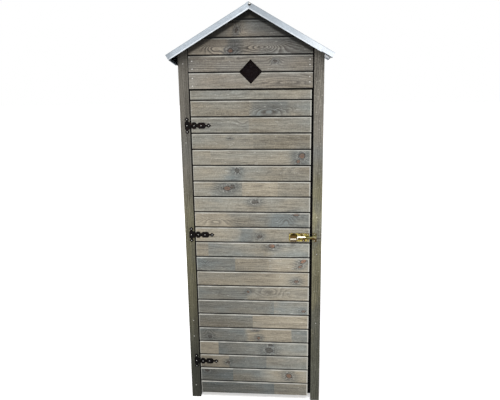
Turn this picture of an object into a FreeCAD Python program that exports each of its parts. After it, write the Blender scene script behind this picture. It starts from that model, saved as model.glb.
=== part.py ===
import FreeCAD, Part
import os
import re

import Sketcher

# Garden storage cabinet: four posts, tongued and grooved boards lying level on every side, a
# gabled roof of two folded metal sheets, and one tall door on three ornamental T-hinges with a
# barrel bolt. Millimetres. Origin at floor level under the middle of the roof, +X to the right
# of somebody facing the door, +Y into the cabinet, +Z up.

# Driving dimensions: name, value, what it is
SIZES = [
    ("cabinet_width", 660, "over the posts, left to right"),
    ("cabinet_depth", 500, "over the posts, front to back"),
    ("ridge_height", 1934, "floor to the underside of the roof sheets at the ridge"),
    ("roof_pitch", 30, "slope of the roof in degrees"),
    ("post_width", 45, "post, seen from the front"),
    ("post_depth", 45, "post, seen from the side"),
    ("panel_recess", 1, "how far the wall boards stand back behind the posts' faces"),
    ("batten_width", 26, "jambs and corner battens that the wall boards are nailed to"),
    ("board_pitch", 75, "cover width of a board"),
    ("board_thickness", 16, "thickness of every cladding board"),
    ("groove_width", 3, "open slot between the fronts of two boards"),
    ("bevel", 3.5, "bevel along a board's upper front edge"),
    ("under_bevel", 1.5, "bevel along a board's lower front edge"),
    ("tongue_thickness", 5, "tongue, front to back"),
    ("tongue_height", 6, "how far a tongue enters the board above"),
    ("tongue_play", 0.3, "room around a tongue in its groove"),
    ("board_gap", 0.4, "room between the backs of two boards"),
    ("wall_foot", 27, "floor to the lowest wall board"),
    ("door_foot", 27, "floor to the door's lower edge"),
    ("bottom_board_width", 70, "lowest board of the door, ripped narrower"),
    ("least_top_board", 18, "narrowest strip that the door's top board may be ripped to"),
    ("hinge_gap", 6, "gap between door and post on the hinge side"),
    ("bolt_gap_top", 10, "gap between door and post on the bolt side, at the top"),
    ("bolt_gap_bottom", 15, "the same gap at the foot, where the door is trimmed narrower"),
    ("head_gap", 6.5, "gap between door and gable"),
    ("gable_boards", 3, "boards of full width in the gable"),
    ("gable_narrow_width", 66, "the board above them, ripped narrower"),
    ("gable_peak", 73, "the pointed piece above that, up to the ridge"),
    ("gable_gap_left", 2.5, "gap between the gable boards and the post on the hinge side"),
    ("gable_gap_right", 6, "the same gap on the bolt side"),
    ("vent_width", 108, "diamond opening in the gable, corner to corner"),
    ("vent_height", 108, "the same, top to bottom"),
    ("header_height", 50, "rail behind the gap over the door"),
    ("header_lap", 16, "how far that rail reaches down behind the door"),
    ("cleat_width", 38, "sloping cleat behind the gable boards"),
    ("mitre_gap", 0.5, "half the open joint between two cleats at the ridge"),
    ("ridge_beam_width", 25, "beam under the ridge"),
    ("ridge_beam_height", 60, "the same, top to bottom"),
    ("eave_rail_height", 45, "rail under each eave, at its outer face"),
    ("rail_lift", 30, "floor to the rails under the cabinet's bottom"),
    ("rail_height", 45, "rails under the cabinet's bottom"),
    ("rail_thickness", 25, "the same, across"),
    ("bottom_thickness", 16, "boards of the cabinet's bottom"),
    ("bottom_boards", 5, "how many boards the bottom has"),
    ("bottom_gap", 2, "gap between them"),
    ("notch_play", 1, "room around a corner batten in the bottom's notches"),
    ("shelf_thickness", 18, "each shelf"),
    ("shelf_low", 640, "floor to the lower shelf's top"),
    ("shelf_high", 1110, "floor to the upper shelf's top"),
    ("shelf_play", 2, "room between a shelf and the corner battens"),
    ("shelf_batten_width", 20, "batten under a shelf's end"),
    ("shelf_batten_height", 25, "the same, top to bottom"),
    ("stile_width", 58, "upright behind the door boards"),
    ("stile_thickness", 20, "uprights, ledge and braces of the door"),
    ("stile_play", 8, "room between a door upright and the jamb beside it"),
    ("stile_end", 5, "room above and below a door upright"),
    ("ledge_height", 60, "level ledge between the door's uprights"),
    ("brace_cut", 78, "height of a brace's upright end cut"),
    ("roof_width", 748, "over both eaves"),
    ("roof_overhang", 50, "roof past the posts, at the front and at the back"),
    ("sheet_thickness", 1, "roof sheet"),
    ("flange_depth", 26, "sheet folded down at the front and at the left eave"),
    ("hem_height", 5, "hem turned up on the outside along the front flange's lower edge"),
    ("edge_fold", 10, "sheet folded down at the back and at the right eave"),
    ("return_slope", 36, "slope in degrees of the left eave's fold back to the wall"),
    ("return_play", 1.5, "room between that fold and the posts"),
    ("ridge_lap", 14, "how far the right sheet laps over the left one"),
    ("ridge_gap", 3, "ridge to the left sheet's upper edge"),
    ("sheet_play", 0.2, "room between two lapped sheets"),
    ("roof_screw_radius", 3.5, "head of a roof screw"),
    ("roof_screw_height", 3, "the same, its height"),
    ("washer_radius", 7, "sealing washer of a roof screw"),
    ("washer_thickness", 1.5, "the same, its thickness"),
    ("roof_screw_length", 22, "shank of a roof screw below the sheet"),
    ("roof_screw_shank", 2.2, "radius of that shank"),
    ("ridge_screw_drop", 11, "ridge down to the screw that holds the lapped flanges"),
    ("ridge_screw_shift", 4, "how far that screw sits to the right of the ridge"),
    ("ridge_screw_length", 10, "shank of that screw below the sheet"),
    ("hinge_foot_rise", 181, "door's lower edge to the middle of the lowest hinge"),
    ("hinge_top_drop", 157.5, "door's upper edge to the middle of the highest hinge"),
    ("hinge_middle_drop", 524, "highest hinge to the middle one"),
    ("leaf_thickness", 2, "plate and strap of a hinge"),
    ("knuckle_radius", 4.25, "rolled knuckle of a hinge"),
    ("knuckle_length", 30, "all knuckles of one hinge together"),
    ("knuckle_gap", 0.3, "end play between two knuckles"),
    ("leaf_relief", 0.6, "room between a leaf and the other leaf's knuckle"),
    ("pin_radius", 2, "hinge pin"),
    ("pin_seat", 0.02, "room around the pin in the plate's knuckles"),
    ("pin_play", 0.08, "running room around the pin in the strap's knuckle"),
    ("pin_head_radius", 3.2, "head of the hinge pin"),
    ("pin_head_height", 1.6, "the same, its height"),
    ("plate_offset", 17.5, "hinge pin to the middle of the hinge plate"),
    ("plate_width", 21, "hinge plate"),
    ("plate_body", 32, "straight part of the hinge plate, top to bottom"),
    ("plate_neck", 6, "width of the necks above and below it"),
    ("plate_neck_rise", 5, "height over which the plate narrows to a neck"),
    ("point_width", 21, "diamond point of the hinge plate"),
    ("point_low", 8, "neck to the widest part of that point"),
    ("point_high", 9.5, "widest part to the tip"),
    ("point_hole", 28.5, "middle of the hinge plate to its outer holes"),
    ("strap_root", 5.5, "hinge pin to the strap's first swelling"),
    ("bulge_height", 31, "first swelling of the strap"),
    ("bulge_length", 21, "the same, along the strap"),
    ("waist_height", 16, "waist between the strap's swellings"),
    ("waist_length", 7, "the same, along the strap"),
    ("second_height", 28, "second swelling of the strap"),
    ("second_length", 36, "the same, along the strap"),
    ("second_end", 21, "height of the second swelling at its outer end"),
    ("throat_height", 8, "throat before the strap's point"),
    ("throat_length", 5, "the same, along the strap"),
    ("tip_height", 20, "diamond point of the strap"),
    ("tip_rise", 9, "throat to the widest part of the point"),
    ("tip_reach", 12, "widest part of the point to its tip"),
    ("corner_cut", 4, "sloping corners of the swellings, along the strap"),
    ("leaf_fillet", 1.2, "rounding of the hinge outlines"),
    ("hole_radius", 2.1, "screw holes in hinges and bolt"),
    ("strap_hole_one", 15.5, "hinge pin to the strap's first hole"),
    ("strap_hole_two", 49, "hinge pin to the strap's second hole"),
    ("strap_hole_three", 84, "hinge pin to the strap's third hole"),
    ("screw_head_radius", 3.4, "head of a hinge or bolt screw"),
    ("screw_head_height", 1.9, "the same, its height"),
    ("screw_shank", 1.8, "radius of its shank"),
    ("screw_length", 14, "its length under the head"),
    ("bolt_height", 874, "floor to the bolt's rod"),
    ("bolt_plate_length", 96, "plate of the barrel bolt"),
    ("bolt_plate_height", 40, "the same, top to bottom"),
    ("bolt_plate_thickness", 2, "the same, its thickness"),
    ("bolt_plate_fillet", 2.5, "rounding of its corners"),
    ("rod_radius", 6.25, "sliding rod of the bolt"),
    ("rod_throw", 31, "how far the thrown rod stands past the plate"),
    ("rod_length", 122, "rod, end to end"),
    ("rod_chamfer", 1.5, "bevel of the rod's leading end"),
    ("rod_play", 0.3, "room around the rod in its barrel"),
    ("barrel_wall", 2.4, "wall of the barrel"),
    ("barrel_length", 38, "the same, along the rod"),
    ("barrel_inset", 17.5, "plate's end to the barrel"),
    ("foot_width", 2.5, "flange of the barrel, above and below it"),
    ("foot_thickness", 2, "the same, its thickness"),
    ("tab_length", 29, "finger tab on the rod, along the rod"),
    ("tab_above", 13, "rod's middle to the tab's upper edge"),
    ("tab_below", 12, "rod's middle to the tab's lip"),
    ("tab_thickness", 2.5, "the same, its thickness"),
    ("tab_lip", 9, "how far the tab's lip stands out"),
    ("tab_inset", 1.5, "rod's outer end to the tab"),
    ("tab_seat", 1.5, "how deep the tab is let into the rod"),
    ("keeper_length", 20, "keeper on the post, along the rod"),
    ("keeper_inset", 0.5, "post's edge to the keeper"),
    ("keeper_play", 0.9, "room around the rod in the keeper"),
    ("keeper_wall", 2, "sheet of the keeper"),
    ("keeper_height", 43, "keeper, end to end"),
    ("nail_radius", 2.3, "head of a nail"),
    ("nail_head", 0.8, "the same, its height"),
    ("nail_shank", 1.1, "radius of its shank"),
    ("nail_length", 30, "its length under the head"),
    ("nail_inset", 19, "post to the nails in the gable boards' ends"),
    ("gable_nail_left_low", 14, "gable board's foot to its lower nail on the left"),
    ("gable_nail_left_high", 48, "the same for the upper nail"),
    ("gable_nail_right_low", 28, "gable board's foot to its lower nail on the right"),
    ("gable_nail_right_high", 51, "the same for the upper nail"),
    ("post_nail_first", 68, "floor to the nails in the posts, from the lowest"),
    ("post_nail_second", 345, "the next nail up"),
    ("post_nail_third", 430, "the next nail up"),
    ("post_nail_fourth", 789, "the next nail up"),
    ("post_nail_fifth", 417, "post's outer top edge down to the next nail"),
    ("post_nail_sixth", 61, "post's outer top edge down to the highest nail"),
]

# Places that follow from the sizes
PLACES = {
    "half_width": "cabinet_width / 2",
    "half_depth": "cabinet_depth / 2",
    "post_in_x": "half_width - post_width",
    "post_in_y": "half_depth - post_depth",
    "panel_back": "panel_recess + board_thickness",
    "wall_in_x": "half_width - panel_back",
    "wall_in_y": "half_depth - panel_back",
    "jamb_in_x": "post_in_x - batten_width",
    "batten_in_y": "post_in_y - batten_width",
    "gable_height": "gable_boards * board_pitch + gable_narrow_width + gable_peak",
    "gable_foot": "ridge_height - gable_height",
    "door_top": "gable_foot - head_gap",
    "door_height": "door_top - door_foot",
    "boarding": "door_height - bottom_board_width",
    "full_boards": "floor((boarding - least_top_board) / board_pitch)",
    "door_left": "-post_in_x + hinge_gap",
    "door_right_top": "post_in_x - bolt_gap_top",
    "door_right_foot": "post_in_x - bolt_gap_bottom",
    "top_board_width": "boarding - full_boards * board_pitch",
    "vent_middle": "gable_foot + board_pitch",
    "header_foot": "door_top - header_lap",
    "rail_top": "rail_lift + rail_height",
    "bottom_top": "rail_top + bottom_thickness",
    "bottom_board_depth": "(2 * post_in_y - (bottom_boards - 1) * bottom_gap) / bottom_boards",
    "stile_out_x": "jamb_in_x - stile_play",
    "stile_in_x": "stile_out_x - stile_width",
    "stile_foot": "door_foot + stile_end",
    "stile_top": "header_foot - stile_end",
    "ledge_foot": "bolt_height - ledge_height / 2",
    "ledge_top": "bolt_height + ledge_height / 2",
    "door_back": "half_depth - board_thickness",
    "roof_half_depth": "half_depth + roof_overhang",
    "eave_run": "(roof_width / 2 - sheet_thickness * sin(roof_pitch)) / cos(roof_pitch)",
    "lap_rise": "sheet_thickness + sheet_play",
    "ridge_shift": "lap_rise / (2 * sin(roof_pitch))",
    "ridge_lift": "lap_rise / (2 * cos(roof_pitch))",
    "sheet_rise": "sheet_thickness / cos(roof_pitch)",
    "flange_drop": "(flange_depth - sheet_thickness) / cos(roof_pitch)",
    "hinge_low": "door_foot + hinge_foot_rise",
    "hinge_high": "door_top - hinge_top_drop",
    "hinge_middle": "hinge_high - hinge_middle_drop",
    "hinge_x": "-post_in_x + hinge_gap / 2",
    "hinge_y": "-half_depth - knuckle_radius",
    "knuckle_third": "knuckle_length / 3",
    "leaf_clear": "knuckle_radius + leaf_relief",
    "plate_neck_end": "plate_body / 2 + plate_neck_rise",
    "plate_wide": "plate_neck_end + point_low",
    "plate_end": "plate_wide + point_high",
    "bulge_end": "strap_root + bulge_length",
    "waist_end": "bulge_end + waist_length",
    "second_stop": "waist_end + second_length",
    "throat_end": "second_stop + throat_length",
    "tip_wide": "throat_end + tip_rise",
    "tip_end": "tip_wide + tip_reach",
    "bolt_plate_end": "door_right_foot",
    "bolt_plate_start": "bolt_plate_end - bolt_plate_length",
    "barrel_bore": "rod_radius + rod_play",
    "barrel_radius": "barrel_bore + barrel_wall",
    "barrel_start": "bolt_plate_end - barrel_inset - barrel_length",
    "rod_y": "-half_depth - bolt_plate_thickness - barrel_radius",
    "rod_end": "bolt_plate_end + rod_throw",
    "rod_start": "rod_end - rod_length",
    "tab_y": "rod_y - rod_radius + tab_seat",
    "keeper_bore": "rod_radius + keeper_play",
    "keeper_radius": "keeper_bore + keeper_wall",
    "keeper_start": "post_in_x + keeper_inset",
    "keeper_middle": "keeper_start + keeper_length / 2",
    "keeper_screw_rise": "(keeper_height / 2 + keeper_radius) / 2",
}

NAMES = {name for name, _, _ in SIZES}
LEFT, RIGHT = -1, 1
FRONT, BACK = -1, 1

doc = FreeCAD.newDocument("garden_cabinet")
sheet = doc.addObject("Spreadsheet::Sheet", "sizes")
for row, (name, number, remark) in enumerate(SIZES, start=1):
    sheet.set(f"A{row}", name)
    sheet.set(f"B{row}", str(number))
    sheet.setAlias(f"B{row}", name)
    sheet.set(f"C{row}", remark)
doc.recompute()

parts = []


def bound(text):
    """Expression on the sheet for a text of size and place names."""

    def spell(match):
        word = match.group(0)
        if word in NAMES:
            return f"sizes.{word}"
        if word in PLACES:
            return f"({bound(PLACES[word])})"
        return word

    return re.sub(r"[a-z_]+", spell, str(text))


def value(text):
    """Number that a text of size and place names gives now."""
    return float(sheet.evalExpression(bound(text)))


def roof_at(x):
    """Underside of the roof at a distance from the ridge."""
    return f"(ridge_height - ({x}) * tan(roof_pitch))"


def slope_point(side, run, rise):
    """Point on one roof slope: run down it from the ridge, rise square to it."""
    across = f"{side} * (({run}) * cos(roof_pitch) + ({rise}) * sin(roof_pitch))"
    height = f"ridge_height - ({run}) * sin(roof_pitch) + ({rise}) * cos(roof_pitch)"
    return across, height


def place(thing, x="0", y="0", z="0"):
    """Binds a sub-part's place to the sheet."""
    for axis, text in zip("xyz", (x, y, z)):
        thing.setExpression(f"Placement.Base.{axis}", bound(text))


def keep(thing, label):
    """Names a finished sub-part and lists it for export."""
    thing.Label = label
    parts.append(thing)
    return thing


def new_body(label, x="0", y="0", z="0"):
    body = doc.addObject("PartDesign::Body", label)
    place(body, x, y, z)
    return keep(body, label)


def new_sketch(body, plane, offset="0"):
    """Sketch on one of the body's own planes, moved along the plane's normal."""
    sketch = body.newObject("Sketcher::SketchObject", "Sketch")
    support = next(f for f in body.Origin.OriginFeatures if f.Role == f"{plane}_Plane")
    sketch.AttachmentSupport = (support, [""])
    sketch.MapMode = "FlatFace"
    sketch.setExpression("AttachmentOffset.Base.z", bound(offset))
    return sketch


def hold_point(sketch, geometry, point, u, v):
    """Ties a sketch point to the sheet by its two distances from the origin."""
    for kind, text in (("DistanceX", u), ("DistanceY", v)):
        constraint = Sketcher.Constraint(kind, -1, 1, geometry, point, value(text))
        index = sketch.addConstraint(constraint)
        sketch.setExpression(f"Constraints[{index}]", bound(text))


def add_outline(sketch, corners):
    """Closed outline of straight lines through corners."""
    first = sketch.GeometryCount
    points = [FreeCAD.Vector(value(u), value(v), 0) for u, v in corners]
    count = len(points)
    for i in range(count):
        sketch.addGeometry(Part.LineSegment(points[i], points[(i + 1) % count]))
    for i in range(count):
        after = first + (i + 1) % count
        sketch.addConstraint(Sketcher.Constraint("Coincident", first + i, 2, after, 1))
    for i, (u, v) in enumerate(corners):
        hold_point(sketch, first + i, 1, u, v)


def add_circle(sketch, u, v, radius):
    centre = FreeCAD.Vector(value(u), value(v), 0)
    circle = Part.Circle(centre, FreeCAD.Vector(0, 0, 1), value(radius))
    index = sketch.addGeometry(circle)
    hold_point(sketch, index, 3, u, v)
    size = sketch.addConstraint(Sketcher.Constraint("Radius", index, value(radius)))
    sketch.setExpression(f"Constraints[{size}]", bound(radius))


def add_pad(body, sketch, length):
    """Pad towards +X, +Y or +Z. The XZ plane faces -Y, so its pads run backwards."""
    feature = body.newObject("PartDesign::Pad", "Pad")
    feature.Profile = sketch
    feature.Reversed = sketch.AttachmentSupport[0][0].Role == "XZ_Plane"
    feature.setExpression("Length", bound(length))
    body.Tip = feature
    return feature


def add_pocket(body, sketch):
    """Pocket right through the body, both ways from the sketch."""
    feature = body.newObject("PartDesign::Pocket", "Pocket")
    feature.Profile = sketch
    feature.Type = "ThroughAll"
    feature.SideType = "Symmetric"
    body.Tip = feature
    return feature


def add_row(body, feature, axis, spacing, count):
    """Row of copies of the body's feature along one of its axes."""
    row = body.newObject("PartDesign::LinearPattern", "Row")
    row.Originals = [feature]
    line = next(f for f in body.Origin.OriginFeatures if f.Role == f"{axis}_Axis")
    row.Direction = (line, [""])
    row.Mode = "Spacing"
    row.setExpression("Offset", bound(spacing))
    row.setExpression("Occurrences", bound(count))
    body.Tip = row
    return row


def prism(label, plane, corners, start, length):
    """Body with one outline, padded from start along the plane's normal axis."""
    axis = {"YZ": "x", "XZ": "y", "XY": "z"}[plane]
    body = new_body(label, **{axis: start})
    sketch = new_sketch(body, plane)
    add_outline(sketch, corners)
    add_pad(body, sketch, length)
    return body


def timber(label, x, y, z):
    """Straight timber from (start, end) pairs along each axis."""
    box = doc.addObject("Part::Box", label)
    for size, (low, high) in zip(("Length", "Width", "Height"), (x, y, z)):
        box.setExpression(size, bound(f"({high}) - ({low})"))
    place(box, x[0], y[0], z[0])
    return box


def group(label, members):
    """One sub-part of several separate solids."""
    compound = doc.addObject("Part::Compound", label)
    compound.Links = members
    return keep(compound, label)


def side_pair(side, low, high):
    """Start and end along X or Y of something between two distances from the middle."""
    return (low, high) if side > 0 else (f"-({high})", f"-({low})")


def cylinder(axis, radius, length, x, y, z):
    """Round bar from a point towards +X, +Y or +Z."""
    turns = {
        "X": FreeCAD.Rotation(FreeCAD.Vector(0, 1, 0), 90),
        "Y": FreeCAD.Rotation(FreeCAD.Vector(1, 0, 0), -90),
        "Z": FreeCAD.Rotation(),
    }
    bar = doc.addObject("Part::Cylinder", "Bar")
    bar.Placement.Rotation = turns[axis]
    bar.setExpression("Radius", bound(radius))
    bar.setExpression("Height", bound(length))
    place(bar, x, y, z)
    return bar


def fused(members):
    whole = doc.addObject("Part::MultiFuse", "Whole")
    whole.Shapes = members
    return whole


def cut(base, tool):
    result = doc.addObject("Part::Cut", "Cut")
    result.Base = base
    result.Tool = tool
    return result


# Cladding boards


def board_section(height, inward, face, foot="0", groove=True, tongue=True):
    """Corners of a board's section: a groove below, a tongue above, its face at a place."""
    tongue_front = "(board_thickness - tongue_thickness) / 2"
    tongue_back = "(board_thickness + tongue_thickness) / 2"
    corners = [("0", "0")]
    if groove:
        slot = "tongue_height + tongue_play"
        corners = [
            ("0", "under_bevel"),
            ("under_bevel", "0"),
            (f"{tongue_front} - tongue_play", "0"),
            (f"{tongue_front} - tongue_play", slot),
            (f"{tongue_back} + tongue_play", slot),
            (f"{tongue_back} + tongue_play", "0"),
        ]
    corners.append(("board_thickness", "0"))
    if tongue:
        corners += [
            ("board_thickness", f"{height} - board_gap"),
            (tongue_back, f"{height} - board_gap"),
            (tongue_back, f"{height} + tongue_height"),
            (tongue_front, f"{height} + tongue_height"),
            (tongue_front, f"{height} - groove_width"),
            ("bevel", f"{height} - groove_width"),
            ("0", f"{height} - groove_width - bevel"),
        ]
    else:
        corners += [("board_thickness", height), ("0", height)]
    return [(f"{face} + {inward} * ({u})", f"{foot} + {v}") for u, v in corners]


def trim_to_roof(body, shift="0"):
    """Cuts away all that stands above the roof's underside. shift is the body's place in X."""
    beyond = "half_width + board_pitch"
    over = "ridge_height + board_pitch"
    sketch = new_sketch(body, "XZ")
    corners = [
        (f"-({beyond})", roof_at(beyond)),
        ("0", "ridge_height"),
        (beyond, roof_at(beyond)),
        (beyond, over),
        (f"-({beyond})", over),
    ]
    add_outline(sketch, [(f"{x} - ({shift})", z) for x, z in corners])
    add_pocket(body, sketch)


def door_board(label, foot, height, groove=True, tongue=True, count=None):
    """Board or row of boards of the door, trimmed along the free edge."""
    section = board_section(height, 1, "-half_depth", foot, groove, tongue)
    body = prism(label, "YZ", section, "door_left", "door_right_top - door_left")
    if count:
        add_row(body, body.Tip, "Z", "board_pitch", count)
    sketch = new_sketch(body, "XZ")
    over = "door_top + board_pitch"
    under = "door_foot - board_pitch"
    lean = "(door_right_top - door_right_foot) / door_height"
    corners = [
        (f"door_right_top + board_pitch * {lean}", over),
        ("door_right_top + board_pitch", over),
        ("door_right_top + board_pitch", under),
        (f"door_right_foot - board_pitch * {lean}", under),
    ]
    add_outline(sketch, [(f"{x} - (door_left)", z) for x, z in corners])
    add_pocket(body, sketch)


def gable_board(label, foot, height, vent=False, tongue=True):
    """Board of the front gable between the posts, cut to the roof."""
    section = board_section(height, 1, "panel_recess - half_depth", foot, tongue=tongue)
    start = "gable_gap_left - post_in_x"
    body = prism(label, "YZ", section, start, f"post_in_x - gable_gap_right - ({start})")
    if vent:
        sketch = new_sketch(body, "XZ")
        corners = [
            ("0", "vent_middle - vent_height / 2"),
            ("vent_width / 2", "vent_middle"),
            ("0", "vent_middle + vent_height / 2"),
            ("-vent_width / 2", "vent_middle"),
        ]
        add_outline(sketch, [(f"{x} - ({start})", z) for x, z in corners])
        add_pocket(body, sketch)
    trim_to_roof(body, start)


def make_door_boards():
    first = "door_foot + bottom_board_width"
    top = f"{first} + full_boards * board_pitch"
    door_board("door_bottom_board", "door_foot", "bottom_board_width", groove=False)
    door_board("door_boards", first, "board_pitch", count="full_boards")
    door_board("door_top_board", top, "top_board_width", tongue=False)


def make_gable_boards():
    foot = "gable_foot"
    heights = ["board_pitch"] * int(value("gable_boards")) + ["gable_narrow_width"]
    for number, height in enumerate(heights, start=1):
        gable_board(f"gable_board_{number}", foot, height, vent=number < 3)
        foot = f"{foot} + {height}"
    gable_board(f"gable_board_{len(heights) + 1}", foot, "gable_peak", tongue=False)


def make_walls():
    for side, word in ((LEFT, "left"), (RIGHT, "right")):
        face = f"{side} * (half_width - panel_recess)"
        section = board_section("board_pitch", -side, face, "wall_foot")
        body = prism(f"wall_boards_{word}", "XZ", section, "-post_in_y", "2 * post_in_y")
        count = f"ceil(({roof_at('half_width')} - wall_foot) / board_pitch)"
        add_row(body, body.Tip, "Z", "board_pitch", count)
        trim_to_roof(body)
    section = board_section("board_pitch", -1, "half_depth - panel_recess", "wall_foot")
    body = prism("wall_boards_back", "YZ", section, "-post_in_x", "2 * post_in_x")
    count = "ceil((ridge_height - wall_foot) / board_pitch)"
    add_row(body, body.Tip, "Z", "board_pitch", count)
    trim_to_roof(body, "-post_in_x")


# Frame


def upright(label, side, near, far, foot, start, length):
    """Upright between two distances from the middle, its top cut to the roof."""
    corners = [(near, foot), (far, foot), (far, roof_at(far)), (near, roof_at(near))]
    corners = [(f"{side} * ({x})", z) for x, z in corners]
    return prism(label, "XZ", corners, start, length)


def make_posts():
    rows = ((FRONT, "front", "-half_depth"), (BACK, "rear", "post_in_y"))
    for _, row, start in rows:
        for side, word in ((LEFT, "left"), (RIGHT, "right")):
            name = f"post_{row}_{word}"
            upright(name, side, "post_in_x", "half_width", "0", start, "post_depth")


def sloped_members(side, near, far, foot, start, length):
    """The same upright as a loose member of a group."""
    body = upright("member", side, near, far, foot, start, length)
    parts.remove(body)
    return body


def make_battens():
    depth = "wall_in_y - post_in_y"
    for side, word in ((LEFT, "left"), (RIGHT, "right")):
        name = f"jamb_{word}"
        upright(name, side, "jamb_in_x", "post_in_x", "rail_lift", "-wall_in_y", depth)
    group("back_battens", [
        sloped_members(side, "jamb_in_x", "post_in_x", "rail_lift", "post_in_y", depth)
        for side in (LEFT, RIGHT)
    ])
    group("side_battens", [
        sloped_members(side, "post_in_x", "wall_in_x", "rail_lift", start, "batten_width")
        for side in (LEFT, RIGHT)
        for start in ("-post_in_y", "batten_in_y")
    ])


def make_rails():
    ends = ("-jamb_in_x", "jamb_in_x")
    low = ("rail_lift", "rail_top")
    head = ("header_foot", "header_foot + header_height")
    front = side_pair(FRONT, "post_in_y", "wall_in_y")
    back = side_pair(BACK, "post_in_y", "wall_in_y")
    sill = side_pair(FRONT, "post_in_y - rail_thickness", "post_in_y")
    keep(timber("floor_rail_front", ends, sill, low), "floor_rail_front")
    keep(timber("floor_rail_back", ends, back, low), "floor_rail_back")
    keep(timber("header_rail", ends, front, head), "header_rail")
    keep(timber("back_rail_top", ends, back, head), "back_rail_top")
    for side, word in ((LEFT, "left"), (RIGHT, "right")):
        name = f"floor_rail_{word}"
        x = side_pair(side, "jamb_in_x", "post_in_x")
        keep(timber(name, x, ("-post_in_y", "post_in_y"), low), name)
        name = f"eave_rail_{word}"
        foot = f"{roof_at('wall_in_x')} - eave_rail_height"
        length = "2 * batten_in_y"
        upright(name, side, "post_in_x", "wall_in_x", foot, "-batten_in_y", length)


def make_ridge():
    half = "ridge_beam_width / 2"
    foot = "ridge_height - ridge_beam_height"
    corners = [
        (f"-{half}", foot),
        (half, foot),
        (half, roof_at(half)),
        ("0", "ridge_height"),
        (f"-{half}", roof_at(half)),
    ]
    prism("ridge_beam", "XZ", corners, "-post_in_y", "2 * post_in_y")
    drop = "cleat_width / cos(roof_pitch)"
    members = []
    for side in (LEFT, RIGHT):
        for start in ("-wall_in_y", "post_in_y"):
            corners = [
                ("mitre_gap", f"{roof_at('mitre_gap')} - {drop}"),
                ("jamb_in_x", f"{roof_at('jamb_in_x')} - {drop}"),
                ("jamb_in_x", roof_at("jamb_in_x")),
                ("mitre_gap", roof_at("mitre_gap")),
            ]
            corners = [(f"{side} * ({x})", z) for x, z in corners]
            body = prism("cleat", "XZ", corners, start, "wall_in_y - post_in_y")
            parts.remove(body)
            members.append(body)
    group("gable_cleats", members)


def make_bottom():
    half = "wall_in_x - notch_play"
    corners = [
        (f"-({half})", "-post_in_y"),
        (half, "-post_in_y"),
        (half, "bottom_board_depth - post_in_y"),
        (f"-({half})", "bottom_board_depth - post_in_y"),
    ]
    body = prism("floor_boards", "XY", corners, "rail_top", "bottom_thickness")
    add_row(body, body.Tip, "Y", "bottom_board_depth + bottom_gap", "bottom_boards")
    sketch = new_sketch(body, "XY")
    for side in (LEFT, RIGHT):
        for row in (FRONT, BACK):
            near_x, near_y = "post_in_x - notch_play", "batten_in_y - notch_play"
            far_x, far_y = "half_width", "half_depth"
            notch = [(near_x, near_y), (far_x, near_y), (far_x, far_y), (near_x, far_y)]
            add_outline(sketch, [(f"{side} * ({x})", f"{row} * ({y})") for x, y in notch])
    add_pocket(body, sketch)


def make_shelves():
    half_x = "post_in_x - shelf_play"
    half_y = "post_in_y - shelf_play"
    x, y = (f"-({half_x})", half_x), (f"-({half_y})", half_y)
    battens = []
    for height, word in (("shelf_low", "lower"), ("shelf_high", "upper")):
        under = f"{height} - shelf_thickness"
        name = f"shelf_{word}"
        keep(timber(name, x, y, (under, height)), name)
        for side in (LEFT, RIGHT):
            across = side_pair(side, "post_in_x - shelf_batten_width", "post_in_x")
            rise = (f"{under} - shelf_batten_height", under)
            along = ("-post_in_y", "post_in_y")
            battens.append(timber("batten", across, along, rise))
    group("shelf_battens", battens)


def make_door_frame():
    depth = ("-door_back", "stile_thickness - door_back")
    stile = ("stile_foot", "stile_top")
    hinge_side = side_pair(LEFT, "stile_in_x", "stile_out_x")
    bolt_side = side_pair(RIGHT, "stile_in_x", "stile_out_x")
    between = ("-stile_in_x", "stile_in_x")
    keep(timber("door_stile_hinge", hinge_side, depth, stile), "door_stile_hinge")
    keep(timber("door_stile_bolt", bolt_side, depth, stile), "door_stile_bolt")
    ledge = ("ledge_foot", "ledge_top")
    keep(timber("door_ledge", between, depth, ledge), "door_ledge")
    for word, foot, top in (("lower", "stile_foot", "ledge_foot"),
                            ("upper", "ledge_top", "stile_top")):
        corners = [
            ("-stile_in_x", foot),
            ("stile_in_x", f"{top} - brace_cut"),
            ("stile_in_x", top),
            ("-stile_in_x", f"{foot} + brace_cut"),
        ]
        prism(f"door_brace_{word}", "XZ", corners, depth[0], "stile_thickness")


# Roof


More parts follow.
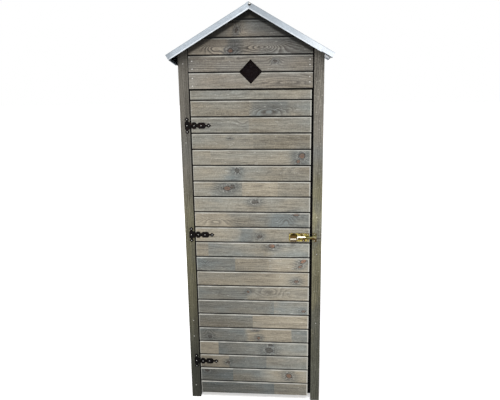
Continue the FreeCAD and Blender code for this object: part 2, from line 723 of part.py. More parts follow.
def make_roof_sheets():
    under_flange = "sheet_thickness - flange_depth"
    over_hem = f"{under_flange} + hem_height"
    lapped = "sheet_thickness + lap_rise"
    eave_in = "eave_run - sheet_thickness"

    # The left sheet is shorter front to back, so that the right sheet's flange laps its own.
    # Its eave is folded down and then back to the wall.
    lip_x, lip_z = slope_point(LEFT, "eave_run", under_flange)
    bend = f"{under_flange} + sheet_thickness * tan((90 - roof_pitch - return_slope) / 2)"
    wall_x = "(-half_width - return_play)"
    wall_z = f"{lip_z} - ({wall_x} - ({lip_x})) * tan(return_slope)"
    section = [
        slope_point(LEFT, "ridge_gap", "0"),
        slope_point(LEFT, eave_in, "0"),
        slope_point(LEFT, eave_in, bend),
        (wall_x, f"{wall_z} + sheet_thickness / cos(return_slope)"),
        (wall_x, wall_z),
        (lip_x, lip_z),
        slope_point(LEFT, "eave_run", "sheet_thickness"),
        slope_point(LEFT, "ridge_gap", "sheet_thickness"),
    ]
    mitre, mitre_top = slope_point(LEFT, "ridge_gap", "sheet_thickness")
    flange, fold = (
        [
            slope_point(LEFT, "eave_run", f"sheet_thickness - {depth}"),
            slope_point(LEFT, "eave_run", "sheet_thickness"),
            (mitre, mitre_top),
            (mitre, f"{mitre_top} - {depth} / cos(roof_pitch)"),
        ]
        for depth in ("flange_depth", "edge_fold")
    )
    hem = [
        slope_point(LEFT, "eave_run", under_flange),
        slope_point(LEFT, "eave_run", over_hem),
        slope_point(LEFT, "ridge_lap + sheet_play", over_hem),
        slope_point(LEFT, "ridge_lap + sheet_play", under_flange),
    ]
    half = "roof_half_depth - lap_rise"
    folded_sheet("roof_sheet_left", section, flange, hem, fold, half)

    apex = "ridge_height + ridge_lift"
    under_fold = "sheet_thickness - edge_fold"
    section = [
        ("-ridge_shift", apex),
        slope_point(RIGHT, eave_in, "0"),
        slope_point(RIGHT, eave_in, under_fold),
        slope_point(RIGHT, "eave_run", under_fold),
        slope_point(RIGHT, "eave_run", "sheet_thickness"),
        ("-ridge_shift", f"{apex} + sheet_rise"),
        slope_point(LEFT, "ridge_lap", lapped),
        slope_point(LEFT, "ridge_lap", "lap_rise"),
    ]
    flange, fold = (
        [
            slope_point(RIGHT, "eave_run", f"sheet_thickness - {depth}"),
            slope_point(RIGHT, "eave_run", "sheet_thickness"),
            ("-ridge_shift", f"{apex} + sheet_rise"),
            slope_point(LEFT, "ridge_lap", lapped),
            slope_point(LEFT, "ridge_lap", f"{lapped} - {depth}"),
            ("-ridge_shift", f"{apex} - ({depth} - sheet_thickness) / cos(roof_pitch)"),
        ]
        for depth in ("flange_depth", "edge_fold")
    )
    hem = [
        slope_point(RIGHT, "eave_run", under_flange),
        slope_point(RIGHT, "eave_run", over_hem),
        ("-ridge_shift", f"{apex} - flange_drop + hem_height / cos(roof_pitch)"),
        slope_point(LEFT, "ridge_lap", f"{lapped} - flange_depth + hem_height"),
        slope_point(LEFT, "ridge_lap", f"{lapped} - flange_depth"),
        ("-ridge_shift", f"{apex} - flange_drop"),
    ]
    folded_sheet("roof_sheet_right", section, flange, hem, fold, "roof_half_depth")


def folded_sheet(label, section, flange, hem, fold, half):
    """Sheet along the roof: a hemmed flange folded down in front, a narrow fold at the back."""
    body = prism(label, "XZ", section, f"-({half})", f"2 * ({half})")
    for offset, outline in (
        ("0", flange),
        ("sheet_thickness", hem),
        (f"sheet_thickness - 2 * ({half})", fold),
    ):
        sketch = new_sketch(body, "XZ", offset)
        add_outline(sketch, outline)
        add_pad(body, sketch, "sheet_thickness")


def make_roof_screws():
    """Domed screws with sealing washers: along the eaves, beside the ridge, in the flange."""
    angle = value("roof_pitch")
    reach = value("(post_in_y + batten_in_y) / 2")
    solids = []
    for side in (LEFT, RIGHT):
        turn = FreeCAD.Rotation(FreeCAD.Vector(0, 1, 0), side * angle)
        rows = (value("(post_in_x + wall_in_x) / 2"), value("ridge_lap + washer_radius"))
        top = value("sheet_thickness")
        for across in rows:
            for along in (-reach, 0.0, reach):
                run = across / value("cos(roof_pitch)")
                x, z = (value(text) for text in slope_point(side, run, top))
                spot = FreeCAD.Vector(x, along, z)
                solids.append(roof_screw("roof_screw_length", spot, turn))
    spot = FreeCAD.Vector(
        value("ridge_screw_shift"),
        -value("roof_half_depth"),
        value("ridge_height + ridge_lift + sheet_rise - ridge_screw_drop"),
    )
    turn = FreeCAD.Rotation(FreeCAD.Vector(1, 0, 0), 90)
    solids.append(roof_screw("ridge_screw_length", spot, turn))
    fastener_group("roof_screws", solids)


def roof_screw(shank_length, spot, turn):
    """Domed screw with its washer on a roof sheet."""
    screw = domed_screw(
        value("roof_screw_radius"),
        value("roof_screw_height"),
        value("roof_screw_shank"),
        value(f"{shank_length} + sheet_thickness"),
        value("washer_radius"),
        value("washer_thickness"),
    )
    screw.Placement = FreeCAD.Placement(spot, turn)
    return screw


def domed_screw(head, rise, shank, length, washer=0.0, washer_height=0.0):
    """Screw along +Z, its head's underside at the origin: a dome, a shank and a washer."""
    radius = (head * head + rise * rise) / (2 * rise)
    middle = FreeCAD.Vector(0, 0, washer_height + rise - radius)
    dome = Part.makeSphere(radius, middle)
    room = Part.makeCylinder(head, rise, FreeCAD.Vector(0, 0, washer_height))
    solid = dome.common(room)
    up = FreeCAD.Vector(0, 0, 1)
    foot = FreeCAD.Vector(0, 0, -length)
    solid = solid.fuse(Part.makeCylinder(shank, length + washer_height, foot, up))
    if washer:
        solid = solid.fuse(Part.makeCylinder(washer, washer_height))
    return solid.removeSplitter()


def fastener_group(label, solids):
    """Separate like fasteners as one sub-part."""
    feature = doc.addObject("Part::Feature", label)
    feature.Shape = Part.makeCompound(solids)
    feature.Placement = FreeCAD.Placement()
    return keep(feature, label)


# Hinges


def make_leaf(label, outline, holes, slots, knuckles, bore, height):
    """Leaf of a hinge: a cut-out plate with rolled knuckles round the pin."""
    body = new_body("leaf", "hinge_x", "-half_depth - leaf_thickness", height)
    parts.remove(body)
    sketch = new_sketch(body, "XZ")
    add_outline(sketch, outline)
    plate = add_pad(body, sketch, "leaf_thickness")
    doc.recompute()
    upright_edges = [
        f"Edge{number}"
        for number, edge in enumerate(plate.Shape.Edges, start=1)
        if abs(edge.tangentAt(edge.FirstParameter).y) > 0.99
    ]
    rounding = body.newObject("PartDesign::Fillet", "Rounding")
    rounding.Base = (plate, upright_edges)
    rounding.setExpression("Radius", bound("leaf_fillet"))
    body.Tip = rounding
    sketch = new_sketch(body, "XZ")
    for u, v in holes:
        add_circle(sketch, u, v, "hole_radius")
    for corners in slots:
        add_outline(sketch, corners)
    add_pocket(body, sketch)
    bars = [
        cylinder("Z", "knuckle_radius", f"{high} - ({low})", "hinge_x", "hinge_y",
                 f"{height} + {low}")
        for low, high in knuckles
    ]
    hole = cylinder("Z", bore, "2 * knuckle_length", "hinge_x", "hinge_y",
                    f"{height} - knuckle_length")
    return keep(cut(fused([body] + bars), hole), label)


def hinge_plate_outline():
    """Waisted plate with a diamond point at each end, seen from the front."""
    half = [
        ("plate_width / 2", "plate_body / 2"),
        ("plate_neck / 2", "plate_neck_end"),
        ("point_width / 2", "plate_wide"),
        ("0", "plate_end"),
        ("-point_width / 2", "plate_wide"),
        ("-plate_neck / 2", "plate_neck_end"),
        ("-plate_width / 2", "plate_body / 2"),
    ]
    half = [(f"{u} - plate_offset", v) for u, v in half]
    upper = [("0", "knuckle_length / 2")] + half
    lower = [(u, f"-({v})") for u, v in reversed(upper)]
    return upper + lower


def strap_outline():
    """Strap with two swellings and a diamond point, seen from the front."""
    upper = [
        ("0", "knuckle_length / 2 - corner_cut"),
        ("strap_root", "knuckle_length / 2 - corner_cut"),
        ("strap_root + corner_cut", "bulge_height / 2"),
        ("bulge_end - corner_cut", "bulge_height / 2"),
        ("bulge_end", "waist_height / 2"),
        ("waist_end", "waist_height / 2"),
        ("waist_end + corner_cut", "second_height / 2"),
        ("second_stop - 2 * corner_cut", "second_height / 2"),
        ("second_stop - corner_cut / 2", "second_end / 2"),
        ("second_stop", "throat_height / 2"),
        ("throat_end", "throat_height / 2"),
        ("tip_wide", "tip_height / 2"),
    ]
    lower = [(u, f"-({v})") for u, v in reversed(upper)]
    return upper + [("tip_end", "0")] + lower


def make_hinges():
    inner = "knuckle_third / 2"
    outer = "knuckle_length / 2"
    gap = "knuckle_gap"
    plate_holes = [("-plate_offset", f"{step} * point_hole") for step in (-1, 0, 1)]
    strap_holes = [(f"strap_hole_{word}", "0") for word in ("one", "two", "three")]
    plate_slot = [
        ("-leaf_clear", f"-({inner})"),
        ("knuckle_radius", f"-({inner})"),
        ("knuckle_radius", inner),
        ("-leaf_clear", inner),
    ]
    strap_slots = [
        [
            ("-knuckle_radius", f"{way} * ({inner} - {gap})"),
            ("leaf_clear", f"{way} * ({inner} - {gap})"),
            ("leaf_clear", f"{way} * ({outer} + corner_cut)"),
            ("-knuckle_radius", f"{way} * ({outer} + corner_cut)"),
        ]
        for way in (-1, 1)
    ]
    for word, height in (("top", "hinge_high"), ("middle", "hinge_middle"),
                         ("bottom", "hinge_low")):
        make_leaf(
            f"hinge_plate_{word}", hinge_plate_outline(), plate_holes, [plate_slot],
            [(f"-({outer})", f"-({inner})"), (inner, outer)],
            "pin_radius + pin_seat", height,
        )
        make_leaf(
            f"hinge_strap_{word}", strap_outline(), strap_holes, strap_slots,
            [(f"{gap} - {inner}", f"{inner} - {gap}")],
            "pin_radius + pin_play", height,
        )
        pin = cylinder("Z", "pin_radius", "knuckle_length", "hinge_x", "hinge_y",
                       f"{height} - {outer}")
        head = cylinder("Z", "pin_head_radius", "pin_head_height", "hinge_x", "hinge_y",
                        f"{height} + {outer}")
        keep(fused([pin, head]), f"hinge_pin_{word}")


def face_screw(x, y, z):
    """Screw driven backwards into a face, its head on the plate at y."""
    screw = domed_screw(
        value("screw_head_radius"),
        value("screw_head_height"),
        value("screw_shank"),
        value("screw_length"),
    )
    turn = FreeCAD.Rotation(FreeCAD.Vector(1, 0, 0), 90)
    spot = FreeCAD.Vector(value(x), value(y), value(z))
    screw.Placement = FreeCAD.Placement(spot, turn)
    return screw


def make_hinge_screws():
    heights = ("hinge_high", "hinge_middle", "hinge_low")
    face = "-half_depth - leaf_thickness"
    fastener_group("hinge_plate_screws", [
        face_screw("hinge_x - plate_offset", face, f"{height} + {step} * point_hole")
        for height in heights
        for step in (-1, 0, 1)
    ])
    fastener_group("hinge_strap_screws", [
        face_screw(f"hinge_x + strap_hole_{word}", face, height)
        for height in heights
        for word in ("one", "two", "three")
    ])


# Barrel bolt


def bolt_screw_places():
    """Screws of the bolt plate: one column behind the tab's side, two beside the barrel."""
    columns = (
        "bolt_plate_start + barrel_wall + screw_head_radius",
        "barrel_start + barrel_length - barrel_radius",
        "bolt_plate_end - 2 * screw_head_radius",
    )
    rise = "bolt_plate_height / 2 - screw_head_radius - leaf_fillet"
    return [(x, f"bolt_height + {way} * ({rise})") for x in columns for way in (-1, 1)]


def make_bolt():
    front = "-half_depth - bolt_plate_thickness"
    body = new_body("bolt_plate", y=front)
    sketch = new_sketch(body, "XZ")
    low, high = (f"bolt_height {sign} bolt_plate_height / 2" for sign in "-+")
    add_outline(sketch, [
        ("bolt_plate_start", low),
        ("bolt_plate_end", low),
        ("bolt_plate_end", high),
        ("bolt_plate_start", high),
    ])
    plate = add_pad(body, sketch, "bolt_plate_thickness")
    doc.recompute()
    corners = [
        f"Edge{number}"
        for number, edge in enumerate(plate.Shape.Edges, start=1)
        if abs(edge.tangentAt(edge.FirstParameter).y) > 0.99
    ]
    rounding = body.newObject("PartDesign::Fillet", "Rounding")
    rounding.Base = (plate, corners)
    rounding.setExpression("Radius", bound("bolt_plate_fillet"))
    body.Tip = rounding
    sketch = new_sketch(body, "XZ")
    for x, z in bolt_screw_places():
        add_circle(sketch, x, z, "hole_radius")
    add_pocket(body, sketch)

    sleeve = saddle(
        "barrel_start", "barrel_length", "barrel_radius", "barrel_bore", front,
        "barrel_radius + foot_width", "foot_thickness", through_back=False,
    )
    keep(sleeve, "bolt_barrel")

    rod = cylinder("X", "rod_radius", "rod_length", "rod_start", "rod_y", "bolt_height")
    tip = doc.addObject("Part::Chamfer", "Tip")
    tip.Base = rod
    doc.recompute()
    leading = max(
        (edge.CenterOfMass.x, number)
        for number, edge in enumerate(rod.Shape.Edges, start=1)
        if edge.Closed
    )[1]
    bevel = value("rod_chamfer")
    tip.Edges = [(leading, bevel, bevel)]

    start = "rod_start + tab_inset"
    x = (start, f"{start} + tab_length")
    flat = ("tab_y - tab_thickness", "tab_y")
    rise = ("bolt_height - tab_below", "bolt_height + tab_above")
    blade = timber("blade", x, flat, rise)
    lip = timber("lip", x, ("tab_y - tab_lip", "tab_y"),
                 ("bolt_height - tab_below - tab_thickness", "bolt_height - tab_below"))
    keep(cut(tip, timber("seat", x, flat, rise)), "bolt_rod")
    keep(fused([blade, lip]), "bolt_tab")

    keeper = saddle(
        "keeper_start", "keeper_length", "keeper_radius", "keeper_bore", "-half_depth",
        "keeper_height / 2", "keeper_wall", through_back=True,
    )
    holes = [
        cylinder("Y", "hole_radius", "2 * keeper_wall", "keeper_middle",
                 "-half_depth - 2 * keeper_wall", f"bolt_height + {way} * keeper_screw_rise")
        for way in (-1, 1)
    ]
    keep(cut(keeper, fused(holes)), "bolt_keeper")


def saddle(start, length, radius, bore, seat, reach, thickness, through_back):
    """Arch over the rod with a foot above and below, standing on a face at seat."""
    round_part = cylinder("X", radius, length, start, "rod_y", "bolt_height")
    x = (start, f"{start} + {length}")
    sides = timber("sides", x, ("rod_y", seat),
                   (f"bolt_height - {radius}", f"bolt_height + {radius}"))
    feet = timber("feet", x, (f"{seat} - {thickness}", seat),
                  (f"bolt_height - ({reach})", f"bolt_height + {reach}"))
    hollow = [cylinder("X", bore, length, start, "rod_y", "bolt_height")]
    if through_back:
        hollow.append(timber("mouth", x, ("rod_y", seat),
                             (f"bolt_height - {bore}", f"bolt_height + {bore}")))
    tool = fused(hollow) if through_back else hollow[0]
    return cut(fused([round_part, sides, feet]), tool)


def make_bolt_screws():
    plate_face = "-half_depth - bolt_plate_thickness"
    fastener_group("bolt_screws", [
        face_screw(x, plate_face, z) for x, z in bolt_screw_places()
    ])
    fastener_group("keeper_screws", [
        face_screw("keeper_middle", "-half_depth - keeper_wall",
                   f"bolt_height + {way} * keeper_screw_rise")
        for way in (-1, 1)
    ])


# Nails


def nail(x, y, z):
    head = Part.makeCylinder(value("nail_radius"), value("nail_head"))
    down = FreeCAD.Vector(0, 0, -1)
    shank = Part.makeCylinder(
        value("nail_shank"), value("nail_length"), FreeCAD.Vector(), down
    )
    solid = head.fuse(shank).removeSplitter()
    turn = FreeCAD.Rotation(FreeCAD.Vector(1, 0, 0), 90)
    solid.Placement = FreeCAD.Placement(FreeCAD.Vector(x, y, z), turn)
    return solid


def make_nails():
    """Nails in the ends of the two lowest gable boards and in the faces of the posts."""
    face = value("panel_recess - half_depth")
    inset = value("post_in_x - nail_inset")
    solids = []
    for side, word in ((LEFT, "left"), (RIGHT, "right")):
        for board in ("gable_foot", "gable_foot + board_pitch"):
            for level in ("low", "high"):
                height = value(f"{board} + gable_nail_{word}_{level}")
                solids.append(nail(side * inset, face, height))
    middle = value("(post_in_x + half_width) / 2")
    top = roof_at("half_width")
    heights = {
        "first": "post_nail_first",
        "second": "post_nail_second",
        "third": "post_nail_third",
        "fourth": "post_nail_fourth",
        "fifth": f"{top} - post_nail_fifth",
        "sixth": f"{top} - post_nail_sixth",
    }
    rows = (
        (LEFT, ("first", "second", "third", "fifth", "sixth")),
        (RIGHT, ("third", "fourth", "sixth")),
    )
    for side, levels in rows:
        for level in levels:
            height = value(heights[level])
            solids.append(nail(side * middle, -value("half_depth"), height))
    fastener_group("nails", solids)


make_posts()
make_battens()
make_rails()
make_ridge()
make_walls()
make_gable_boards()
make_bottom()
make_shelves()
make_door_boards()
make_door_frame()
make_roof_sheets()
make_roof_screws()
make_hinges()
make_hinge_screws()
make_bolt()
make_bolt_screws()
make_nails()
doc.recompute()

# Every object has to be sound before anything is written
for thing in doc.Objects:
    if {"Invalid", "Error"} & set(thing.State):
        owner = [parent.Label for parent in thing.InList]
        raise RuntimeError(f"{thing.Label} in {owner} failed: {thing.State}")
for thing in parts:
    if thing.Shape.isNull() or not thing.Shape.isValid():
        raise RuntimeError(f"{thing.Label} has no sound shape")

os.makedirs("parts", exist_ok=True)
for thing in parts:
    thing.Shape.exportStep(f"parts/{thing.Label}.step")
    print(thing.Label, len(thing.Shape.Solids), round(thing.Shape.Volume))
print(len(parts), "sub-parts")
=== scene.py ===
"""Looks of the garden cabinet: stained boards, galvanised roof, black hinges, zinc bolt.

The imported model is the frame. Metres, +X to the right of somebody who faces the door, +Y
into the cabinet, +Z up, origin on the floor under the middle of the roof.
"""

import math
import random
from typing import NamedTuple

import bmesh
import bpy
from mathutils import Euler, Matrix, Vector


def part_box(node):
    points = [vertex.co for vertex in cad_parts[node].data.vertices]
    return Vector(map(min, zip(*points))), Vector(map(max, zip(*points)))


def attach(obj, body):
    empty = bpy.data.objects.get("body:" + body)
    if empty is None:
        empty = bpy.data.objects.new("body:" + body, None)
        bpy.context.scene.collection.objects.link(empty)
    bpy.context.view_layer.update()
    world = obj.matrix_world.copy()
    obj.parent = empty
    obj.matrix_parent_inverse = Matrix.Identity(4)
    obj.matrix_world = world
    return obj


bl_info = {
    "name": "Garden Cabinet Looks",
    "version": (1, 0, 0),
    "blender": (4, 5, 0),
    "location": "View3D > Sidebar > Cabinet",
    "description": "Finishes the packed garden cabinet and sets its stage",
    "category": "Object",
}

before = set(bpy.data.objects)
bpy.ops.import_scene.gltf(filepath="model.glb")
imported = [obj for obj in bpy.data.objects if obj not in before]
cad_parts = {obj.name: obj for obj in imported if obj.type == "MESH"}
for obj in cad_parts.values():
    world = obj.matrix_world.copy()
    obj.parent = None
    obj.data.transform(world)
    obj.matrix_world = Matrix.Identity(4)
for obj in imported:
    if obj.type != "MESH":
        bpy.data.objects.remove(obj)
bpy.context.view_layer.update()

# Boards, in metres: from one to the next, and where row 0 begins in each panel
BOARD_PITCH = 0.075
DOOR_ROW_FOOT = 0.097
WALL_ROW_FOOT = 0.027
GABLE_ROW_FOOT = 1.570

# Shares of that pitch where the painted highlight on the upper bevel and the painted shade
# and grime in the groove begin and end
BEVEL_START = (0.868, 0.885)
BEVEL_END = (0.945, 0.930)
GROOVE_START = (0.935, 0.948)
GROOVE_END = (0.042, 0.022)

# Length of a jointed block in the walls
BLOCK_LENGTH = 0.36

# Right end of the door's boards: place at the ground, lean to the right
DOOR_END_FOOT = 0.2697
DOOR_END_LEAN = 0.0034

# Height from which the apex board lies in the shade
APEX_SHADE = 1.855

# Side of a post that faces the door, from the cabinet's middle
POST_INNER_SIDE = 0.285

# Roof: underside at the ridge, slope, flange below that underside, height of its screws
RIDGE_HEIGHT = 1.934
ROOF_PITCH = math.radians(30)
FLANGE_DROP = 0.025
ROOF_SCREW_RISE = 0.0045

# Nails of the walls: distance from a board's end, places up a board and how far they miss
# them, top of the rear wall's rows, rings of a head as shares of its radius
NAIL_INSET = 0.014
NAIL_PLACES = (0.22, 0.70)
NAIL_MISS = 0.004
REAR_NAIL_TOP = 1.72
NAIL_RINGS = ((1.0, 0.0), (1.0, 0.18), (0.72, 0.30))
NAIL_SIDES = 10

# Middle of the painted highlight band on the bolt's tab, over its lower end
TAB_HIGHLIGHT = 0.0095

# Gauze: room between it and the gable boards, height over the header rail
GAUZE_ROOM = 0.0004
GAUZE_RISE = 0.001

# Camera as fitted to the photo: its right and its up, shift of the picture, and the width
# of its sensor in millimetres
CAMERA_RIGHT = (0.99713148, 0.07506508, -0.00969811)
CAMERA_UP = (-0.00828608, 0.23562248, 0.97180934)
CAMERA_SHIFT = (-0.024, 0.030)
SENSOR_WIDTH = 36.0

# Half the floor's width
FLOOR_SIZE = 40.0
WHITE = (1.0, 1.0, 1.0, 1.0)


class Knot(NamedTuple):
    """Middle, half width, redness, swirl of rings, height to width, lean in degrees."""

    x: float
    z: float
    size: float
    red: float
    swirl: float
    tall: float = 0.7
    lean: float = 0.0


class Eye(NamedTuple):
    """Long ovals that the yearly rings make in a front board: middle, size, rings."""

    x: float
    z: float
    length: float
    height: float
    rings: float
    strength: float = 0.5


class Patch(NamedTuple):
    """Stretch of a front board with its own tone: a jointed-in block or a blue stain."""

    left: float
    right: float
    row: float
    cool: float
    light: float
    blur: float


# Knots of the door and of the gable, from the foot upwards
KNOTS = tuple(Knot(*entry) for entry in (
    (-0.248, 0.154, 0.0115, 0.1, 0.5, 0.6, -15),
    (0.175, 0.134, 0.0160, 0.8, 1.0, 0.8, -35), (-0.137, 0.202, 0.0085, 0.1, 0.6, 0.8),
    (0.074, 0.275, 0.0175, 0.0, 1.2, 0.75), (0.081, 0.306, 0.0100, 0.0, 0.6, 0.7),
    (-0.226, 0.344, 0.0100, 0.0, 0.6, 0.65), (0.003, 0.388, 0.0105, 0.8, 0.3, 0.4),
    (0.023, 0.342, 0.0090, 0.7, 0.3, 0.9), (0.246, 0.492, 0.0105, 0.4, 0.5, 0.55),
    (-0.028, 0.590, 0.0065, 0.5, 0.4, 0.9), (0.210, 0.648, 0.0120, 0.5, 0.7, 0.6),
    (0.244, 0.753, 0.0175, 1.0, 0.6, 0.5, 30), (0.228, 0.725, 0.0120, 0.9, 0.4, 0.5, 20),
    (0.092, 0.828, 0.0155, 0.8, 0.9, 0.65), (0.120, 0.834, 0.0070, 0.0, 0.3, 0.8),
    (0.032, 0.875, 0.0110, 0.1, 0.8, 0.75), (0.209, 0.985, 0.0155, 0.4, 0.8, 0.45),
    (0.012, 1.046, 0.0145, 0.0, 1.0, 0.55), (-0.119, 1.111, 0.0180, 0.7, 1.2, 0.65),
    (-0.093, 1.119, 0.0105, 0.0, 0.8, 0.9), (-0.069, 1.197, 0.0100, 0.0, 0.8, 1.0),
    (0.234, 1.265, 0.0150, 0.6, 1.0, 0.95), (0.217, 1.240, 0.0100, 0.8, 0.4, 0.8),
    (-0.101, 1.347, 0.0065, 0.2, 0.3, 0.5), (0.111, 1.689, 0.0080, 0.1, 1.3, 0.7),
    (-0.089, 1.737, 0.0120, 0.7, 1.6, 0.8), (-0.061, 1.823, 0.0060, 0.1, 0.5, 2.0, -20),
))

# Size of a knot along its branch, so that only its face counts
ANY_DEPTH = 1000.0

# Stains of the front posts: height, half length, bluish stain, lightness
LEFT_POST_STAINS = (
    (1.300, 0.08, 0.4, 0.06), (1.000, 0.07, 0.0, 0.35), (0.790, 0.10, 0.0, -0.12),
    (0.350, 0.12, 0.2, 0.30),
)
RIGHT_POST_STAINS = (
    (1.275, 0.05, 0.8, 0.12), (1.190, 0.03, 0.3, 0.10), (0.970, 0.06, 0.0, 0.45),
    (0.640, 0.05, 0.0, -0.14), (0.420, 0.05, 0.2, 0.20),
)
# Height of the drying crack that runs across the outer half of the right post
POST_CRACK = 0.872

# Ring figures away from the knots, and the width of a ring in them
EYE_RING = 0.0085
EYES = tuple(Eye(*entry) for entry in (
    (0.084, 1.478, 0.085, 0.030, 6.0, 1.2), (-0.257, 1.488, 0.022, 0.016, 2.5),
    (0.180, 1.488, 0.026, 0.014, 2.0, 0.4), (-0.042, 1.418, 0.027, 0.014, 1.5, 0.3),
    (0.220, 1.191, 0.120, 0.018, 3.0, 0.4), (-0.181, 0.958, 0.066, 0.025, 4.5, 0.35),
    (0.160, 0.961, 0.030, 0.024, 3.5, 0.5), (0.190, 0.827, 0.060, 0.024, 4.0, 0.4),
    (-0.237, 0.735, 0.014, 0.022, 2.0, 0.4), (0.081, 0.589, 0.060, 0.020, 3.5, 0.35),
    (0.058, 0.501, 0.022, 0.010, 2.0, 0.5), (-0.234, 0.374, 0.020, 0.018, 2.0, 0.4),
    (0.079, 0.215, 0.070, 0.014, 2.5, 0.3), (-0.248, 0.158, 0.045, 0.020, 3.0, 0.5),
    (0.000, 1.757, 0.150, 0.032, 8.0, 1.4), (0.062, 1.752, 0.050, 0.018, 4.0, 0.8),
    (-0.165, 1.749, 0.040, 0.022, 4.0, 1.3), (-0.050, 1.830, 0.016, 0.026, 2.5, 0.6),
    (0.180, 1.600, 0.080, 0.010, 2.5, 0.3),
))

# Blocks and stains of the door: left and right edge, row, coolness, lightness, blur
PATCHES = tuple(Patch(*entry) for entry in (
    (-0.29, 0.10, -1, 1.2, -0.06, 0.003), (0.10, 0.29, -1, -0.1, -0.21, 0.06),
    (-0.29, -0.112, 0, 0.9, 0.03, 0.003), (-0.112, 0.06, 0, 0.3, -0.12, 0.06),
    (0.06, 0.29, 0, -0.3, 0.12, 0.08), (-0.29, -0.131, 1, -0.6, 0.12, 0.003),
    (-0.131, 0.06, 1, 0.8, -0.06, 0.003), (0.06, 0.29, 1, 0.5, 0.02, 0.08),
    (-0.29, -0.184, 2, -0.8, 0.30, 0.003), (-0.184, 0.10, 2, 0.8, 0.03, 0.003),
    (0.10, 0.29, 2, 0.5, 0.11, 0.06), (-0.29, -0.036, 3, 1.1, 0.01, 0.04),
    (-0.036, 0.187, 3, -0.6, 0.03, 0.03), (0.187, 0.29, 3, 1.1, 0.00, 0.006),
    (-0.29, -0.007, 4, 0.1, -0.16, 0.003), (-0.007, 0.29, 4, -0.6, 0.10, 0.003),
    (-0.29, 0.10, 5, 0.8, -0.02, 0.003), (0.10, 0.29, 5, 1.1, 0.20, 0.10),
    (-0.29, -0.032, 6, 0.8, -0.02, 0.02), (0.08, 0.29, 6, -0.2, 0.10, 0.08),
    (-0.29, 0.10, 7, -0.3, -0.13, 0.08), (0.10, 0.29, 7, -0.4, 0.08, 0.08),
    (-0.29, -0.089, 8, 0.9, 0.00, 0.003), (-0.089, 0.08, 8, -0.4, -0.06, 0.003),
    (0.08, 0.29, 8, -0.5, 0.26, 0.08), (-0.29, -0.219, 9, -0.6, -0.06, 0.003),
    (-0.219, 0.05, 9, 0.4, 0.03, 0.003), (0.08, 0.29, 9, 0.7, 0.32, 0.06),
    (-0.29, -0.07, 10, -0.4, 0.06, 0.06), (-0.052, 0.008, 10, 0.5, -0.16, 0.03),
    (0.03, 0.29, 10, -0.3, -0.08, 0.06), (-0.29, -0.11, 11, -0.9, 0.10, 0.06),
    (-0.11, 0.10, 11, -0.1, -0.15, 0.06), (0.10, 0.29, 11, 0.8, -0.08, 0.08),
    (-0.29, 0.29, 12, 0.2, 0.06, 0.003), (-0.19, -0.048, 13, 0.7, -0.02, 0.06),
    (-0.048, 0.12, 13, -0.4, 0.06, 0.003), (0.12, 0.29, 13, -0.1, -0.22, 0.12),
    (-0.10, -0.04, 14, 0.7, -0.06, 0.06), (0.08, 0.29, 14, -0.3, -0.16, 0.08),
    (0.16, 0.29, 15, 0.8, -0.06, 0.08), (-0.29, -0.194, 15, -0.2, -0.05, 0.003),
    (-0.29, 0.008, 16, -0.1, -0.04, 0.003), (0.008, 0.29, 16, -0.2, -0.30, 0.003),
    (-0.29, -0.011, 17, 0.1, -0.04, 0.003), (-0.011, 0.29, 17, -0.1, -0.12, 0.003),
    (-0.29, 0.29, 18, 0.1, -0.12, 0.003), (0.00, 0.17, 18, 0.7, 0.02, 0.03),
))

# Stains of the gable, in the same order
GABLE_PATCHES = tuple(Patch(*entry) for entry in (
    (-0.32, 0.32, 0, -0.1, -0.02, 0.003), (-0.32, 0.32, 1, 0.1, -0.04, 0.003),
    (-0.32, -0.11, 2, -0.9, 0.12, 0.08), (-0.11, -0.04, 2, 1.0, -0.30, 0.05),
    (0.00, 0.30, 2, 0.6, 0.11, 0.10), (-0.10, -0.03, 3, -0.8, 0.04, 0.05),
    (0.00, 0.30, 3, 0.5, -0.02, 0.05),
))

# Joints of the door's boards: row and place, where one block ends and the next begins
JOINTS = (
    (0, -0.112), (1, -0.131), (2, -0.184), (3, 0.187), (4, -0.007), (6, -0.032),
    (8, -0.089), (9, -0.219), (13, -0.048), (15, -0.194), (16, 0.008), (17, -0.011),
    (18, -0.009),
)


def swatch(name, description, default):
    """Colour that a user would change."""
    return bpy.props.FloatVectorProperty(
        name=name,
        description=description,
        default=default,
        subtype="COLOR",
        size=3,
        min=0.0,
        max=1.0,
    )


def measure(name, description, default, low, high):
    """Length that a user would change, and its limits."""
    return bpy.props.FloatProperty(
        name=name,
        description=description,
        default=default,
        subtype="DISTANCE",
        min=low,
        max=high,
    )


